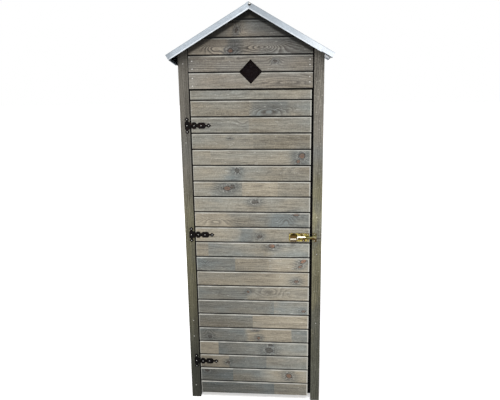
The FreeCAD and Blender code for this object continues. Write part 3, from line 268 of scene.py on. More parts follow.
class CabinetLooks(bpy.types.PropertyGroup):
    """Colours and sizes of the finishes."""

    warm_wood: swatch(
        "Warm wood", "Stained wood where it leans to tan", (0.372, 0.330, 0.255)
    )
    cool_wood: swatch(
        "Cool wood", "Stained wood where it leans to blue grey", (0.210, 0.232, 0.227)
    )
    late_wood: swatch(
        "Late wood", "Dark lines of the yearly rings", (0.085, 0.076, 0.066)
    )
    # Pale wood of flecks, knot rims, grit and wear, also the painted highlight on the
    # boards' upper bevels and the door's ends
    pale_wood_and_highlight: swatch("Worn edge", "Pale upper edge of a board", (0.600, 0.590, 0.540))
    # Near-black of the painted shade and dirt in the grooves, of painted shade in the
    # jambs, under the flange's right end and below the roof screws' middle, and of the
    # rubber washers
    shade_and_rubber_black: swatch(
        "Groove dirt", "Dark stain gathered between two boards", (0.005, 0.005, 0.005)
    )
    # Painted shade: near-black of the jambs, the header rail and the posts' sides beside
    # the door, for the shade in the gaps round the door
    gap_shade: swatch(
        "Jambs", "Dark stain of the jambs behind the door's edges", (0.002, 0.002, 0.002)
    )
    knot_red: swatch("Red knot", "Heart of a live knot", (0.270, 0.130, 0.075))
    knot_dark: swatch("Dark knot", "Heart of a dead knot", (0.060, 0.050, 0.045))
    post_wood: swatch(
        "Posts",
        "Stain of the posts, a little greener than the boards",
        (0.206, 0.191, 0.162),
    )
    post_olive: swatch(
        "Olive posts",
        "Tone of the posts at the middle of their height",
        (0.196, 0.183, 0.114),
    )
    post_stain: swatch("Post stain", "Bluish patches of the posts", (0.125, 0.132, 0.128))
    post_foot: swatch(
        "Post foot", "Grey green of the posts near the ground", (0.160, 0.166, 0.134)
    )
    raw_wood: swatch("Raw timber", "Unstained timber inside", (0.520, 0.390, 0.240))
    zinc: swatch("Zinc sheet", "Galvanised roof sheets", (0.500, 0.555, 0.610))
    # Painted highlight of the flanges' hem and right end, and painted light on the folded
    # right eave
    zinc_highlight: swatch(
        "Bright hem",
        "Hem along the lower edge of the roof flanges",
        (0.880, 0.920, 0.970),
    )
    lacquer: swatch("Black lacquer", "Hinges", (0.006, 0.005, 0.005))
    lacquer_brown: swatch(
        "Thin lacquer",
        "Brown of the iron where the lacquer is thin",
        (0.022, 0.011, 0.009),
    )
    yellow_zinc: swatch(
        "Yellow zinc", "Passivated steel of the bolt", (0.370, 0.305, 0.080)
    )
    yellow_olive: swatch("Olive zinc", "Olive tone of the bolt", (0.300, 0.285, 0.125))
    # Brown tarnish of the bolt, also its painted shade on faces turned down, on the
    # plate's upper faces and round the screw crowns
    brown_tarnish_and_shade: swatch(
        "Brown zinc",
        "Brown tone of the bolt, below and in its corners",
        (0.085, 0.050, 0.016),
    )
    # Painted highlight of the bolt: its barrel's upper faces, a band on the tab, the
    # barrel's end and the screw crowns
    yellow_highlight: swatch(
        "Bright yellow zinc", "Tone of the bolt where it faces up", (0.980, 0.930, 0.780)
    )
    bright_zinc: swatch("Bright zinc", "Nails and roof screws", (0.860, 0.850, 0.820))
    gauze: swatch("Gauze", "Wire of the gauze behind the vent", (0.030, 0.023, 0.027))
    ring_pitch: measure(
        "Ring spacing",
        "From one dark ring line to the next on a board's face",
        0.0095, 0.002, 0.03,
    )
    # Height from which the boards grow darker towards the ground
    darkening_height: measure(
        "Darkening height", "How far up from the ground the stain is darker", 1.2, 0.1, 3.0
    )
    nail_radius: measure(
        "Nail head", "Radius of the nails in the walls", 0.0022, 0.001, 0.006
    )
    gauze_width: measure(
        "Gauze width", "Gauze behind the vent, side to side", 0.116, 0.08, 0.2
    )
    gauze_height: measure(
        "Gauze height", "Gauze behind the vent, foot to top", 0.104, 0.08, 0.14
    )
    gauze_pitch: measure(
        "Gauze pitch", "From one wire of the gauze to the next", 0.002, 0.001, 0.01
    )
    gauze_wire: measure(
        "Gauze wire", "Thickness of a wire of the gauze", 0.0006, 0.0002, 0.002
    )


class StageLooks(bpy.types.PropertyGroup):
    """Camera, lamps and floor."""

    focal_length: bpy.props.FloatProperty(
        name="Focal length",
        description="Camera lens on a 36 mm wide sensor",
        subtype="DISTANCE_CAMERA",
        default=39.05,
        min=10.0,
        max=200.0,
    )
    eye: bpy.props.FloatVectorProperty(
        name="Eye",
        description="Where the camera stands",
        subtype="TRANSLATION",
        size=3,
        default=(0.2400, -2.7595, 1.5927),
    )
    key_power: bpy.props.FloatProperty(
        name="Key lamp",
        description="Power of the large lamp in front, which doesn't mirror in the metal",
        subtype="POWER",
        default=60.0,
        min=0.0,
    )
    sun_strength: bpy.props.FloatProperty(
        name="Top light",
        description="Strength of the even light from above",
        subtype="FACTOR",
        default=1.85,
        min=0.0,
    )
    sky: bpy.props.FloatProperty(
        name="Surroundings",
        description="Strength of the light from all round",
        subtype="FACTOR",
        default=0.22,
        min=0.0,
        max=1.0,
    )
    floor: swatch("Floor", "Colour of the floor", (0.80, 0.80, 0.80))
    floor_lift: bpy.props.FloatProperty(
        name="Floor in view",
        description="How bright the camera sees the lit floor, so that it is white",
        subtype="FACTOR",
        default=1.9,
        min=0.0,
        max=3.0,
    )


def looks():
    return bpy.context.scene.cabinet_looks


class Value:
    """A number, vector or colour in a material. Operators on numbers add Math nodes."""

    def __init__(self, paint, socket):
        self.paint = paint
        self.socket = socket

    def math(self, operation, *inputs):
        return self.paint.math(operation, *inputs)

    def __add__(self, other):
        return self.math("ADD", self, other)

    __radd__ = __add__

    def __sub__(self, other):
        return self.math("SUBTRACT", self, other)

    def __rsub__(self, other):
        return self.math("SUBTRACT", other, self)

    def __mul__(self, other):
        return self.math("MULTIPLY", self, other)

    __rmul__ = __mul__

    def __truediv__(self, other):
        return self.math("DIVIDE", self, other)

    def __rtruediv__(self, other):
        return self.math("DIVIDE", other, self)

    def __pow__(self, other):
        return self.math("POWER", self, other)

    def __neg__(self):
        return self.math("MULTIPLY", self, -1.0)

    def __abs__(self):
        return self.math("ABSOLUTE", self)

    def clamp(self):
        """Kept from 0 to 1."""
        return self.paint.node("ShaderNodeClamp", None, {0: self})

    def fade(self, start, end):
        """Smooth step: 0 where the number is start, 1 where it is end."""
        settings = {"interpolation_type": "SMOOTHSTEP"}
        entries = {"Value": self, "From Min": start, "From Max": end}
        return self.paint.node("ShaderNodeMapRange", settings, entries)


class Paint:
    """The nodes of one material, or of the surroundings where these are given."""

    def __init__(self, name, surroundings=None):
        self.material = surroundings or bpy.data.materials.new(name)
        self.material.use_nodes = True
        self.tree = self.material.node_tree
        self.tree.nodes.clear()
        self.place = self.node("ShaderNodeTexCoord", output="Object")

    def node(self, kind, settings=None, inputs=None, output=0):
        """Adds a node: its settings first, then the values or links of its sockets."""
        made = self.tree.nodes.new(kind)
        for name, setting in (settings or {}).items():
            setattr(made, name, setting)
        for key, entry in (inputs or {}).items():
            if isinstance(entry, Value):
                self.tree.links.new(entry.socket, made.inputs[key])
            else:
                made.inputs[key].default_value = entry
        return Value(self, made.outputs[output]) if made.outputs else made

    def math(self, operation, *inputs):
        settings = {"operation": operation}
        return self.node("ShaderNodeMath", settings, dict(enumerate(inputs)))

    def larger(self, first, second):
        return self.math("MAXIMUM", first, second)

    def vector(self, operation, *inputs, output=0):
        settings, entries = {"operation": operation}, dict(enumerate(inputs))
        return self.node("ShaderNodeVectorMath", settings, entries, output)

    def scaled(self, factors, shift=None):
        """The place on the object, stretched along each axis and shifted."""
        stretched = self.vector("MULTIPLY", self.place, factors)
        return stretched if shift is None else self.vector("ADD", stretched, shift)

    def axes(self):
        """X, Y and Z of the place on the object."""
        split = self.node("ShaderNodeSeparateXYZ", None, {0: self.place})
        return [Value(self, split.socket.node.outputs[i]) for i in range(3)]

    def join(self, x, y, z):
        return self.node("ShaderNodeCombineXYZ", None, {0: x, 1: y, 2: z})

    def noise(self, vector, scale=1.0, detail=2.0, roughness=0.5, output=0):
        entries = {
            "Vector": vector, "Scale": scale, "Detail": detail, "Roughness": roughness
        }
        return self.node("ShaderNodeTexNoise", None, entries, output)

    def chance(self, vector):
        """Random number from 0 to 1 that is the same wherever the vector is."""
        return self.node("ShaderNodeTexWhiteNoise", None, {"Vector": vector})

    def mix(self, factor, first, second):
        """Colour between two colours."""
        entries = {"Factor": factor}
        made = self.node("ShaderNodeMix", {"data_type": "RGBA"}, entries).socket.node
        colours = [s for s in made.inputs if s.type == "RGBA"]
        for socket, entry in zip(colours, (first, second)):
            if isinstance(entry, Value):
                self.tree.links.new(entry.socket, socket)
            else:
                socket.default_value = (*entry[:3], 1.0)
        return Value(self, next(s for s in made.outputs if s.type == "RGBA"))

    def tint(self, colour, factor):
        """Colour made lighter or darker by a number."""
        entries = {0: colour, "Scale": factor}
        return self.node("ShaderNodeVectorMath", {"operation": "SCALE"}, entries)

    def bump(self, height, strength, distance):
        entries = {"Height": height, "Strength": strength, "Distance": distance}
        return self.node("ShaderNodeBump", None, entries)

    def facing(self, axis):
        """How far the surface faces along an axis, from -1 to 1."""
        normal = self.node("ShaderNodeTexCoord", output="Normal")
        return self.node("ShaderNodeSeparateXYZ", None, {0: normal}, axis)

    def in_view(self):
        """1 where the camera sees it, also in a mirror or through glass, else 0."""
        rays = self.node("ShaderNodeLightPath").socket.node.outputs
        kinds = [Value(self, rays[f"Is {kind} Ray"])
                 for kind in ("Camera", "Glossy", "Transmission")]
        return self.larger(self.larger(kinds[0], kinds[1]), kinds[2])

    def finish(self, **inputs):
        """Ends the material in a Principled shader. Underscores stand for spaces."""
        entries = {name.replace("_", " "): entry for name, entry in inputs.items()}
        shader = self.node("ShaderNodeBsdfPrincipled", None, entries)
        self.node("ShaderNodeOutputMaterial", None, {"Surface": shader})
        return self.material


def streaks(paint, axis, along, across, shift, detail=1.0, roughness=0.5):
    """Noise that runs along one axis: how often it changes along and across per metre."""
    factors = tuple(along if letter == axis else across for letter in "XYZ")
    return paint.noise(paint.scaled(factors, shift), 1.0, detail, roughness)


def darker(colour, factor):
    """Colour of the settings, made darker by a factor."""
    return [channel * factor for channel in colour]


def ring_lines(paint, distance):
    """Yearly rings from the distance to the pith: pale early wood, a sharp dark edge."""
    turn = distance / looks().ring_pitch
    share = paint.math("FRACT", turn)
    return share.fade(0.10, 0.82) * share.fade(1.0, 0.88)


def wood_grain(paint, axis, shift):
    """Fine streaks, broad streaks and blotches of a timber, each about 0.5 on average."""
    fine = streaks(paint, axis, 14.0, 230.0, shift, 4.0, 0.7)
    broad = streaks(paint, axis, 3.2, 80.0, shift, 4.0, 0.7)
    return fine, broad, streaks(paint, axis, 5.0, 15.0, shift, 3.0)


def warped_place(paint, scale, reach):
    """The place on the object, pushed about a little, so that figures aren't regular."""
    push = paint.noise(paint.place, scale, 3.0, 0.65, "Color")
    push = paint.vector("SUBTRACT", push, (0.5, 0.5, 0.5))
    push = paint.vector("MULTIPLY", push, (reach, reach, reach * 0.6))
    return paint.vector("ADD", paint.place, push)


def knot_marks(paint, knots):
    """Distance to the nearest knot in units of its size, how red it is, pull on rings."""
    nearest, red, pull = None, 0.0, 0.0
    spot = warped_place(paint, 70.0, 0.011)
    for knot in knots:
        entries = {
            "Vector": spot,
            "Location": (knot.x, 0.0, knot.z),
            "Rotation": (0.0, -math.radians(knot.lean), 0.0),
            "Scale": (knot.size, ANY_DEPTH, knot.size * knot.tall),
        }
        core = paint.node("ShaderNodeMapping", {"vector_type": "TEXTURE"}, entries)
        near = paint.vector("LENGTH", core, output="Value")
        red += near.fade(1.6, 0.9) * knot.red
        pull += paint.math("EXPONENT", near * near * -0.12) * (0.02 * knot.swirl)
        nearest = near if nearest is None else paint.math("MINIMUM", nearest, near)
    return nearest, red, pull


def eye_marks(paint, eyes):
    """Height that the ring eyes add to the pith distance, and where they are."""
    lift, presence = 0.0, 0.0
    spot = warped_place(paint, 35.0, 0.007)
    for eye in eyes:
        offset = paint.vector("SUBTRACT", spot, (eye.x, 0.0, eye.z))
        factors = (1.0 / eye.length, 0.0, 1.0 / eye.height)
        share = paint.vector("MULTIPLY", offset, factors)
        square = paint.vector("DOT_PRODUCT", share, share, output="Value")
        swell = paint.math("EXPONENT", square * -0.8)
        lift += swell * (eye.rings * EYE_RING)
        presence += swell * eye.strength
    return lift, presence


def patch_tones(paint, along, row, drift, patches):
    """Coolness and lightness that the blocks and stains add."""
    cool, light = 0.0, 0.0
    for patch in patches:
        spot = along + (drift - 0.5) * (patch.blur * 1.5)
        half = patch.blur / 2
        inside = spot.fade(patch.left - half, patch.left + half)
        inside *= spot.fade(patch.right + half, patch.right - half)
        inside *= paint.math("COMPARE", row, patch.row, 0.1)
        cool += inside * (patch.cool * 0.5)
        light += inside * patch.light
    return cool, light


def stained_boards(name, axis, row_foot, inward, seed, knots=(), eyes=(), patches=(),
                   joints=None, figure=0.50, cast=None, tip=None):
    """Grey stained softwood boards, each with its own tone, figure and jointed blocks.

    inward gives how deep under the boards' face a place is, tip how far past their end,
    where the door's ends get a painted highlight, cast a tint over all of it.
    """
    style = looks()
    paint = Paint(name)
    x, y, z = paint.axes()
    along = {"X": x, "Y": y}[axis]
    depth = inward(x, y)
    rise = (z - row_foot) / BOARD_PITCH
    row = paint.math("FLOOR", rise)
    share = rise - row

    if joints is None:
        offset = paint.chance(paint.join(row, seed, 4.0))
        block = paint.math("FLOOR", along / BLOCK_LENGTH + offset * 7.0)
    else:
        block = row * 0.0
        for level, place in joints:
            here = paint.math("COMPARE", row, level, 0.1)
            block += here * paint.math("GREATER_THAN", along, place)
    shift = paint.join(
        row * 13.7 + block * 5.3, row * 7.9 + seed, row * 3.1 + block * 2.7
    )
    fine, broad, blotch = wood_grain(paint, axis, shift)

    # Growth rings: the pith wanders under the face, so that some rings close to ovals
    luck = paint.chance(paint.join(row, block, seed))
    pith = (share - (luck * 2.4 - 0.7)) * BOARD_PITCH
    wander = streaks(paint, axis, 2.2, 0.0, shift)
    sunk = wander * 0.11 - 0.03
    distance = (pith * pith + sunk * sunk) ** 0.5
    wobble = streaks(paint, axis, 7.0, 45.0, shift, 2.0)
    distance += (wobble - 0.5) * 0.009
    presence = streaks(paint, axis, 1.8, 7.0, shift).fade(0.36, 0.66) * figure
    if knots:
        heart, red, pull = knot_marks(paint, knots)
        distance += pull
        presence += heart.fade(5.0, 1.5) * 0.8
    contrast = 0.62
    if eyes:
        lift, seen = eye_marks(paint, eyes)
        distance += lift
        presence += seen
        contrast += seen.clamp() * 0.30
    rings = ring_lines(paint, distance) * presence.clamp()

    # Tone: blocks and stains on the front, chance elsewhere
    lean = paint.chance(paint.join(block, row, seed + 2.0))
    if patches:
        cool, light = patch_tones(paint, along, row, blotch, patches)
        cool = cool + 0.30 + (lean - 0.5) * 0.2
        light += (luck - 0.5) * 0.08
    else:
        cool = 0.3 + (lean - 0.4) * 0.7
        light = (luck - 0.5) * 0.35
    cool += (blotch - 0.5) * 1.6
    base = paint.mix(cool.clamp(), style.warm_wood, style.cool_wood)
    colour = paint.mix((rings * contrast).clamp(), base, style.late_wood)
    dash = streaks(paint, axis, 26.0, 300.0, shift)
    colour = paint.mix(dash.fade(0.60, 0.72) * 0.45, colour, style.late_wood)
    grit = streaks(paint, axis, 170.0, 170.0, shift, 3.0)
    fleck = streaks(paint, axis, 55.0, 160.0, shift)
    colour = paint.mix(fleck.fade(0.66, 0.76) * 0.35, colour, style.pale_wood_and_highlight)
    shade = 1.0 + light + (fine - 0.5) * 1.2 + (broad - 0.5)
    shade = shade + (blotch - 0.5) * 0.6 + (grit - 0.5) * 0.8
    if knots:
        colour = with_knots(paint, colour, heart, red, grit)
    # Painted shadow of the roof, and darker towards the ground
    roof_shadow = painted_roof_shadow(x, z)
    colour = paint.tint(colour, shade * low_left_darkening(x, z) * roof_shadow)
    if cast is not None:
        colour = paint.vector("MULTIPLY", colour, cast)

    # Painted highlight, broken by some wear, on the upper bevel and along the door's ends;
    # painted shade and grime in the groove above the bevel
    wear = streaks(paint, axis, 14.0, 14.0, shift, 2.0)
    edge = share.fade(*BEVEL_START) * share.fade(*BEVEL_END)
    edge *= 0.45 + wear.fade(0.35, 0.65) * 0.55
    edge *= 1.0 - z.fade(APEX_SHADE - 0.02, APEX_SHADE - 0.01) * 0.65
    # Painted highlight along the right and the left end of the door
    if tip is not None:
        edge = paint.larger(edge, tip(x, z).fade(-0.0058, -0.0036))
        hinge_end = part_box("door_boards")[0].x
        left_end_highlight = x.fade(hinge_end + 0.0045, hinge_end + 0.0025)
        edge = paint.larger(edge, left_end_highlight * 0.40)
    edge *= depth.fade(0.006, 0.004)
    # worn holds the painted highlight's colour, dimmed by the painted roof shadow
    worn = paint.tint(style.pale_wood_and_highlight, roof_shadow)
    colour = paint.mix(edge * (0.84 - z.fade(0.9, 1.3) * 0.12), colour, worn)
    shade_and_dirt = paint.larger(share.fade(*GROOVE_START), share.fade(*GROOVE_END))
    colour = paint.mix(shade_and_dirt * 0.95, colour, style.shade_and_rubber_black)

    relief = fine * 0.7 + broad * 0.5 - rings * 0.8
    return paint.finish(
        Base_Color=colour,
        Roughness=(0.60 + fine * 0.22 - rings * 0.12).clamp(),
        Specular_IOR_Level=0.2,
        Normal=paint.bump(relief, 0.5, 0.0008),
    )


def low_left_darkening(x, z):
    """Darker towards the ground, most of all on the left."""
    style = looks()
    low = z.fade(style.darkening_height, 0.1)
    left = x.fade(0.27, -0.28)
    ground = z.fade(0.16, 0.0)
    return (1.0 - low * (left * 0.52 + 0.03)) * (1.0 - ground * 0.22)


def roof_depth(x, z):
    """Distance below the roof's underside, at right angles to it."""
    return (RIDGE_HEIGHT - abs(x) * math.tan(ROOF_PITCH) - z) * math.cos(ROOF_PITCH)


def painted_roof_shadow(x, z):
    """Painted shadow of the roof: darker just under its underside and on the apex board.
    """
    depth = roof_depth(x, z)
    soft = 1.0 - depth.fade(0.105, 0.020) * 0.55
    close = 1.0 - depth.fade(0.046, 0.036) * 0.80
    return soft * close * (1.0 - z.fade(APEX_SHADE, APEX_SHADE + 0.02) * 0.62)


def with_knots(paint, colour, heart, red, grit):
    """Adds the knots: a bruise, fine rings round it, the heart and its dark outline."""
    style = looks()
    bruise = darker(style.cool_wood, 0.74)
    colour = paint.mix(heart.fade(4.4, 1.2) * 0.50, colour, bruise)
    wave = paint.math("SINE", heart * 7.5 + grit * 5.0) * 0.5 + 0.5
    lines = wave.fade(0.50, 0.90) * heart.fade(3.2, 1.0)
    colour = paint.mix(lines * 0.60, colour, style.late_wood)
    inner = paint.mix(red.clamp(), style.late_wood, style.knot_red)
    core = heart.fade(0.98, 0.55) * (0.48 + grit.fade(0.40, 0.60) * 0.40)
    colour = paint.mix(core, colour, inner)
    colour = paint.mix(heart.fade(0.40, 0.15) * 0.35, colour, style.knot_dark)
    ring = heart.fade(0.70, 0.92) * heart.fade(1.28, 1.06)
    ring *= 0.42 + grit.fade(0.58, 0.42) * 0.50
    colour = paint.mix(ring, colour, style.knot_dark)
    rim = heart.fade(1.15, 1.35) * heart.fade(1.95, 1.60)
    return paint.mix(rim * grit.fade(0.46, 0.62) * 0.30, colour, style.pale_wood_and_highlight)


def stained_post(name, seed, tone, gloom, olive, stains=(), tilt=0.0):
    """Upright post: the same stain, olive below a height, painted shade beside the door
    and under the roof, a painted highlight on the arris by the door.

    tilt is how much lighter its outer half is than its inner half.
    """
    style = looks()
    paint = Paint(name)
    x, y, z = paint.axes()
    shift = paint.join(seed, seed * 2.0, seed * 0.3)
    fine, broad, blotch = wood_grain(paint, "Z", shift)
    wander = streaks(paint, "Z", 1.6, 0.0, shift)
    across = x + y * 0.7 + (wander - 0.5) * 0.16
    wobble = streaks(paint, "Z", 5.0, 40.0, shift, 2.0)
    rings = ring_lines(paint, across + (wobble - 0.5) * 0.012)
    stain = streaks(paint, "Z", 5.0, 9.0, shift, 3.0)
    lower = z.fade(olive, olive - 0.35)
    base = paint.mix(lower, style.post_wood, style.post_olive)
    base = paint.mix(stain.fade(0.54, 0.70) * 0.45, base, style.post_stain)
    light = 0.0
    for height, size, strength, lift in stains:
        offset = (z - height + (stain - 0.5) * 0.06) / size
        patch = paint.math("EXPONENT", -(offset * offset))
        base = paint.mix((patch * strength).clamp(), base, style.post_stain)
        light += patch * lift
    base = paint.mix(z.fade(0.50, 0.15) * 0.8, base, style.post_foot)
    base = paint.mix((rings * 0.4).clamp(), base, style.late_wood)
    split = streaks(paint, "Z", 1.6, 110.0, shift, 2.0).fade(0.66, 0.70)
    colour = paint.mix(split * 0.8, base, style.knot_dark)
    grit = streaks(paint, "Z", 150.0, 150.0, shift, 3.0)
    level = z - POST_CRACK + (wobble - 0.5) * 0.004
    outer = x.fade(POST_INNER_SIDE + 0.017, POST_INNER_SIDE + 0.022)
    nick = abs(level).fade(0.0030, 0.0015) * outer
    colour = paint.mix(nick * 0.85, colour, style.knot_dark)
    lip = abs(level - 0.0048).fade(0.0022, 0.0010) * outer
    colour = paint.mix(lip * 0.30, colour, style.pale_wood_and_highlight)
    colour = paint.mix(grit.fade(0.64, 0.74) * 0.3, colour, style.pale_wood_and_highlight)
    shade = 1.0 + (fine - 0.5) * 1.3 + (broad - 0.5) * 1.1 + (blotch - 0.5) * 0.7
    shade = (shade + (grit - 0.5) * 0.9) * tone * (1.0 + light)
    shade *= 1.0 - z.fade(0.86, 0.18) * gloom
    # Painted shadow of the roof on the post's top
    shade *= 1.0 - roof_depth(x, z).fade(0.075, 0.030) * 0.60
    # Painted highlight on the arris beside the door; tilt lightens the outer half
    arris_highlight = abs(x).fade(POST_INNER_SIDE + 0.008, POST_INNER_SIDE + 0.002)
    outward = abs(x).fade(POST_INNER_SIDE + 0.012, POST_INNER_SIDE + 0.024) - 0.5
    shade *= 1.0 + arris_highlight * 0.14 + outward * tilt
    colour = paint.tint(colour, shade)
    # Painted shade: the side beside the door is near-black
    inner = abs(x).fade(POST_INNER_SIDE + 0.0010, POST_INNER_SIDE + 0.0003)
    colour = paint.mix(inner, colour, style.gap_shade)
    relief = fine * 0.8 + broad * 0.4 - split * 2.0 - rings * 0.5
    return paint.finish(
        Base_Color=colour,
        Roughness=(0.64 + fine * 0.2).clamp(),
        Specular_IOR_Level=0.2,
        Normal=paint.bump(relief, 0.5, 0.0008),
    )


def raw_timber(name, axis, seed):
    """Unstained softwood inside the cabinet."""
    style = looks()
    paint = Paint(name)
    x, y, z = paint.axes()
    shift = paint.join(seed, seed * 1.7, seed * 0.6)
    fine, broad, blotch = wood_grain(paint, axis, shift)
    wander = streaks(paint, axis, 1.8, 0.0, shift)
    across = {"X": z + y * 0.6, "Y": z + x * 0.6, "Z": x + y * 0.8}[axis]
    rings = ring_lines(paint, across + (wander - 0.5) * 0.08 + (blotch - 0.5) * 0.01)
    dark = darker(style.raw_wood, 0.58)
    colour = paint.mix((rings * 0.6).clamp(), style.raw_wood, dark)
    shade = 0.9 + (fine - 0.5) * 0.4 + (broad - 0.5) * 0.4 + (blotch - 0.5) * 0.4
    return paint.finish(
        Base_Color=paint.tint(colour, shade),
        Roughness=(0.6 + fine * 0.2).clamp(),
        Normal=paint.bump(fine * 0.7 - rings * 0.4, 0.4, 0.0006),
    )


def jamb_painted_shade(name, axis):
    """Timber behind the door's edges, painted nearly black as the shade in the gaps round
    the door.
    """
    style = looks()
    paint = Paint(name)
    fine, broad, blotch = wood_grain(paint, axis, (3.0, 5.0, 8.0))
    colour = paint.mix(blotch, style.shade_and_rubber_black, style.gap_shade)
    return paint.finish(
        Base_Color=paint.tint(colour, 0.7 + fine * 0.6),
        Roughness=(0.6 + broad * 0.2).clamp(),
        Specular_IOR_Level=0.05,
        Normal=paint.bump(fine, 0.4, 0.0006),
    )


def galvanised_sheet(name):
    """Dull zinc with soft spangle and rubs; painted highlight at the flange's hem, painted
    light and shade along the flange.
    """
    style = looks()
    paint = Paint(name)
    x, y, z = paint.axes()
    entries = {"Vector": paint.place, "Scale": 95.0}
    cells = paint.node("ShaderNodeTexVoronoi", {"feature": "F1"}, entries, "Color")
    spangle = paint.node("ShaderNodeSeparateColor", None, {0: cells})
    cloud = paint.noise(paint.place, 7.0, 3.0)
    rub = paint.noise(paint.scaled((18.0, 4.0, 40.0)), 1.0, 4.0, 0.6)
    worn = rub.fade(0.56, 0.70)
    dull = darker(style.zinc, 0.66)
    colour = paint.mix(worn * 0.5, style.zinc, dull)
    shade = 1.0 + (spangle - 0.5) * 0.06 + (cloud - 0.5) * 0.30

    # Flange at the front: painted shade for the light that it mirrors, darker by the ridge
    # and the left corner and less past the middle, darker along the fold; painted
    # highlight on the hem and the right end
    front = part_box("roof_sheet_right")[0].y
    below = roof_depth(x, z)
    flange = y.fade(front + 0.0045, front + 0.0035)
    hem = below.fade(FLANGE_DROP - 0.0060, FLANGE_DROP - 0.0048)
    end = x.fade(0.16, 0.33) * 0.72
    ridge = x.fade(0.0, 0.004) * x.fade(0.16, 0.06)
    dim = x.fade(0.07, 0.10) * x.fade(0.20, 0.14)
    bright = paint.larger(hem * (0.68 - dim * 0.40), end) * flange
    crest = x.fade(0.002, -0.003) * x.fade(-0.11, -0.04)
    rest = x.fade(0.11, 0.17)
    corner = x.fade(-0.335, -0.362)
    change = 0.12 + ridge * 0.19 + corner * 0.24 - rest * 0.08 - crest * 0.15
    shade *= 1.0 - flange * change
    fold = below.fade(0.0030, 0.0) * flange
    colour = paint.mix(bright, colour, style.zinc_highlight)
    colour = paint.mix(fold * 0.6, colour, dull)

    # Painted shadow as a dark line under the flange's right end, painted light on the fold
    # of the right eave
    line = below.fade(FLANGE_DROP - 0.0042, FLANGE_DROP - 0.0024) * flange
    line *= x.fade(0.312, 0.320)
    colour = paint.mix(line * 0.95, colour, style.shade_and_rubber_black)
    eave = x.fade(0.326, 0.332) * (1.0 - flange) * below.fade(-0.0015, 0.0)
    colour = paint.mix(eave * 0.9, colour, style.zinc_highlight)
    return paint.finish(
        Base_Color=paint.tint(colour, shade),
        Metallic=(0.8 - eave * 0.7 - line * 0.8).clamp(),
        Roughness=(0.50 + (cloud - 0.5) * 0.2 + (spangle - 0.5) * 0.08).clamp(),
        Normal=paint.bump(cloud + rub * 0.3, 0.10, 0.002),
    )


def sealed_screw(name):
    """Bright screw heads on black rubber washers; painted shade below their middle,
    painted light on the washers' upper half.
    """
    style = looks()
    paint = Paint(name)
    x, y, z = paint.axes()
    dull = paint.noise(paint.place, 90.0, 2.0)
    over = -roof_depth(x, z)
    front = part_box("roof_screws")[0].y
    proud = front + ROOF_SCREW_RISE - y
    flange = paint.math("LESS_THAN", y, front + ROOF_SCREW_RISE + 0.001)
    height = paint.math("MULTIPLY_ADD", flange, proud - over + 0.001, over - 0.001)
    rubber_and_shade = height.fade(0.0022, 0.0017)
    metal = paint.mix(dull, style.bright_zinc, darker(style.bright_zinc, 0.6))
    crowns = [v.co.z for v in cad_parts["roof_screws"].data.vertices
              if v.co.y < front + 0.001]
    middle = sum(crowns) / len(crowns)
    # Painted shade below the middle of each head and washer, painted light on the washer's
    # upper half
    upper = z.fade(middle - 0.0005, middle + 0.0015) * flange
    lower = z.fade(middle + 0.0005, middle - 0.0015) * flange
    rubber_and_shade = paint.larger(rubber_and_shade * (1.0 - upper * 0.7), lower)
    return paint.finish(
        Base_Color=paint.mix(rubber_and_shade, metal, style.shade_and_rubber_black),
        Metallic=(0.9 - rubber_and_shade * 0.9).clamp(),
        Roughness=(0.3 + (dull - 0.5) * 0.3 + rubber_and_shade * 0.3).clamp(),
        Normal=paint.bump(dull, 0.1, 0.0003),
    )


def black_lacquer(name):
    """Satin black lacquer on iron, slightly pitted, brown where it has worn thin."""
    style = looks()
    paint = Paint(name)
    pits = paint.noise(paint.place, 420.0, 3.0)
    thin = paint.noise(paint.place, 60.0, 3.0)
    z = paint.axes()[2]
    brown = thin.fade(0.50, 0.70) * (0.10 + z.fade(0.8, 1.3) * 0.70)
    colour = paint.mix(brown, style.lacquer, style.lacquer_brown)
    return paint.finish(
        Base_Color=paint.tint(colour, 0.25 + z.fade(0.2, 0.9) * 0.75),
        Roughness=(0.46 + (thin - 0.5) * 0.3 + (pits - 0.5) * 0.1).clamp(),
        Specular_IOR_Level=0.04,
        Normal=paint.bump(pits, 0.25, 0.0004),
    )


def yellow_zinc(name, front, top, slope, rough, tab_highlight=None, highlight_end=None):
    """Yellow passivated zinc: a front tone with brown tarnish patches, painted tones above
    and below.

    Faces turned down get painted brown shade, faces turned up a second painted tone,
    lighter on most parts and brown shade on the plate. slope is how far a face leans back
    where the upper tone begins, tab_highlight the height of a painted highlight band on
    the tab, highlight_end the barrel's end that gets a painted highlight.
    """
    style = looks()
    paint = Paint(name)
    x, _, z = paint.axes()
    shift = paint.noise(paint.place, 80.0, 2.0)
    fine = paint.noise(paint.place, 260.0, 2.0)
    upward = paint.facing("Z")
    colour = paint.mix(shift.fade(0.44, 0.60), style.brown_tarnish_and_shade, front)
    # Painted shade on faces turned down, then the tone painted on faces turned up
    colour = paint.mix(upward.fade(-0.05, -0.40), colour, style.brown_tarnish_and_shade)
    colour = paint.mix(upward.fade(slope - 0.12, slope + 0.12), colour, top)
    # Painted highlights: a band on the tab and the barrel's end
    if tab_highlight is not None:
        band = abs(z - tab_highlight).fade(0.0050, 0.0030)
        colour = paint.mix(band * 0.5, colour, style.yellow_highlight)
    if highlight_end is not None:
        end_highlight = abs(x - highlight_end).fade(0.0035, 0.0020)
        colour = paint.mix(end_highlight * 0.8, colour, style.yellow_highlight)
    return paint.finish(
        Base_Color=colour,
        Metallic=1.0,
        Roughness=(rough + (fine - 0.5) * 0.16 + (shift - 0.5) * 0.2).clamp(),
        Normal=paint.bump(fine, 0.08, 0.0003),
    )


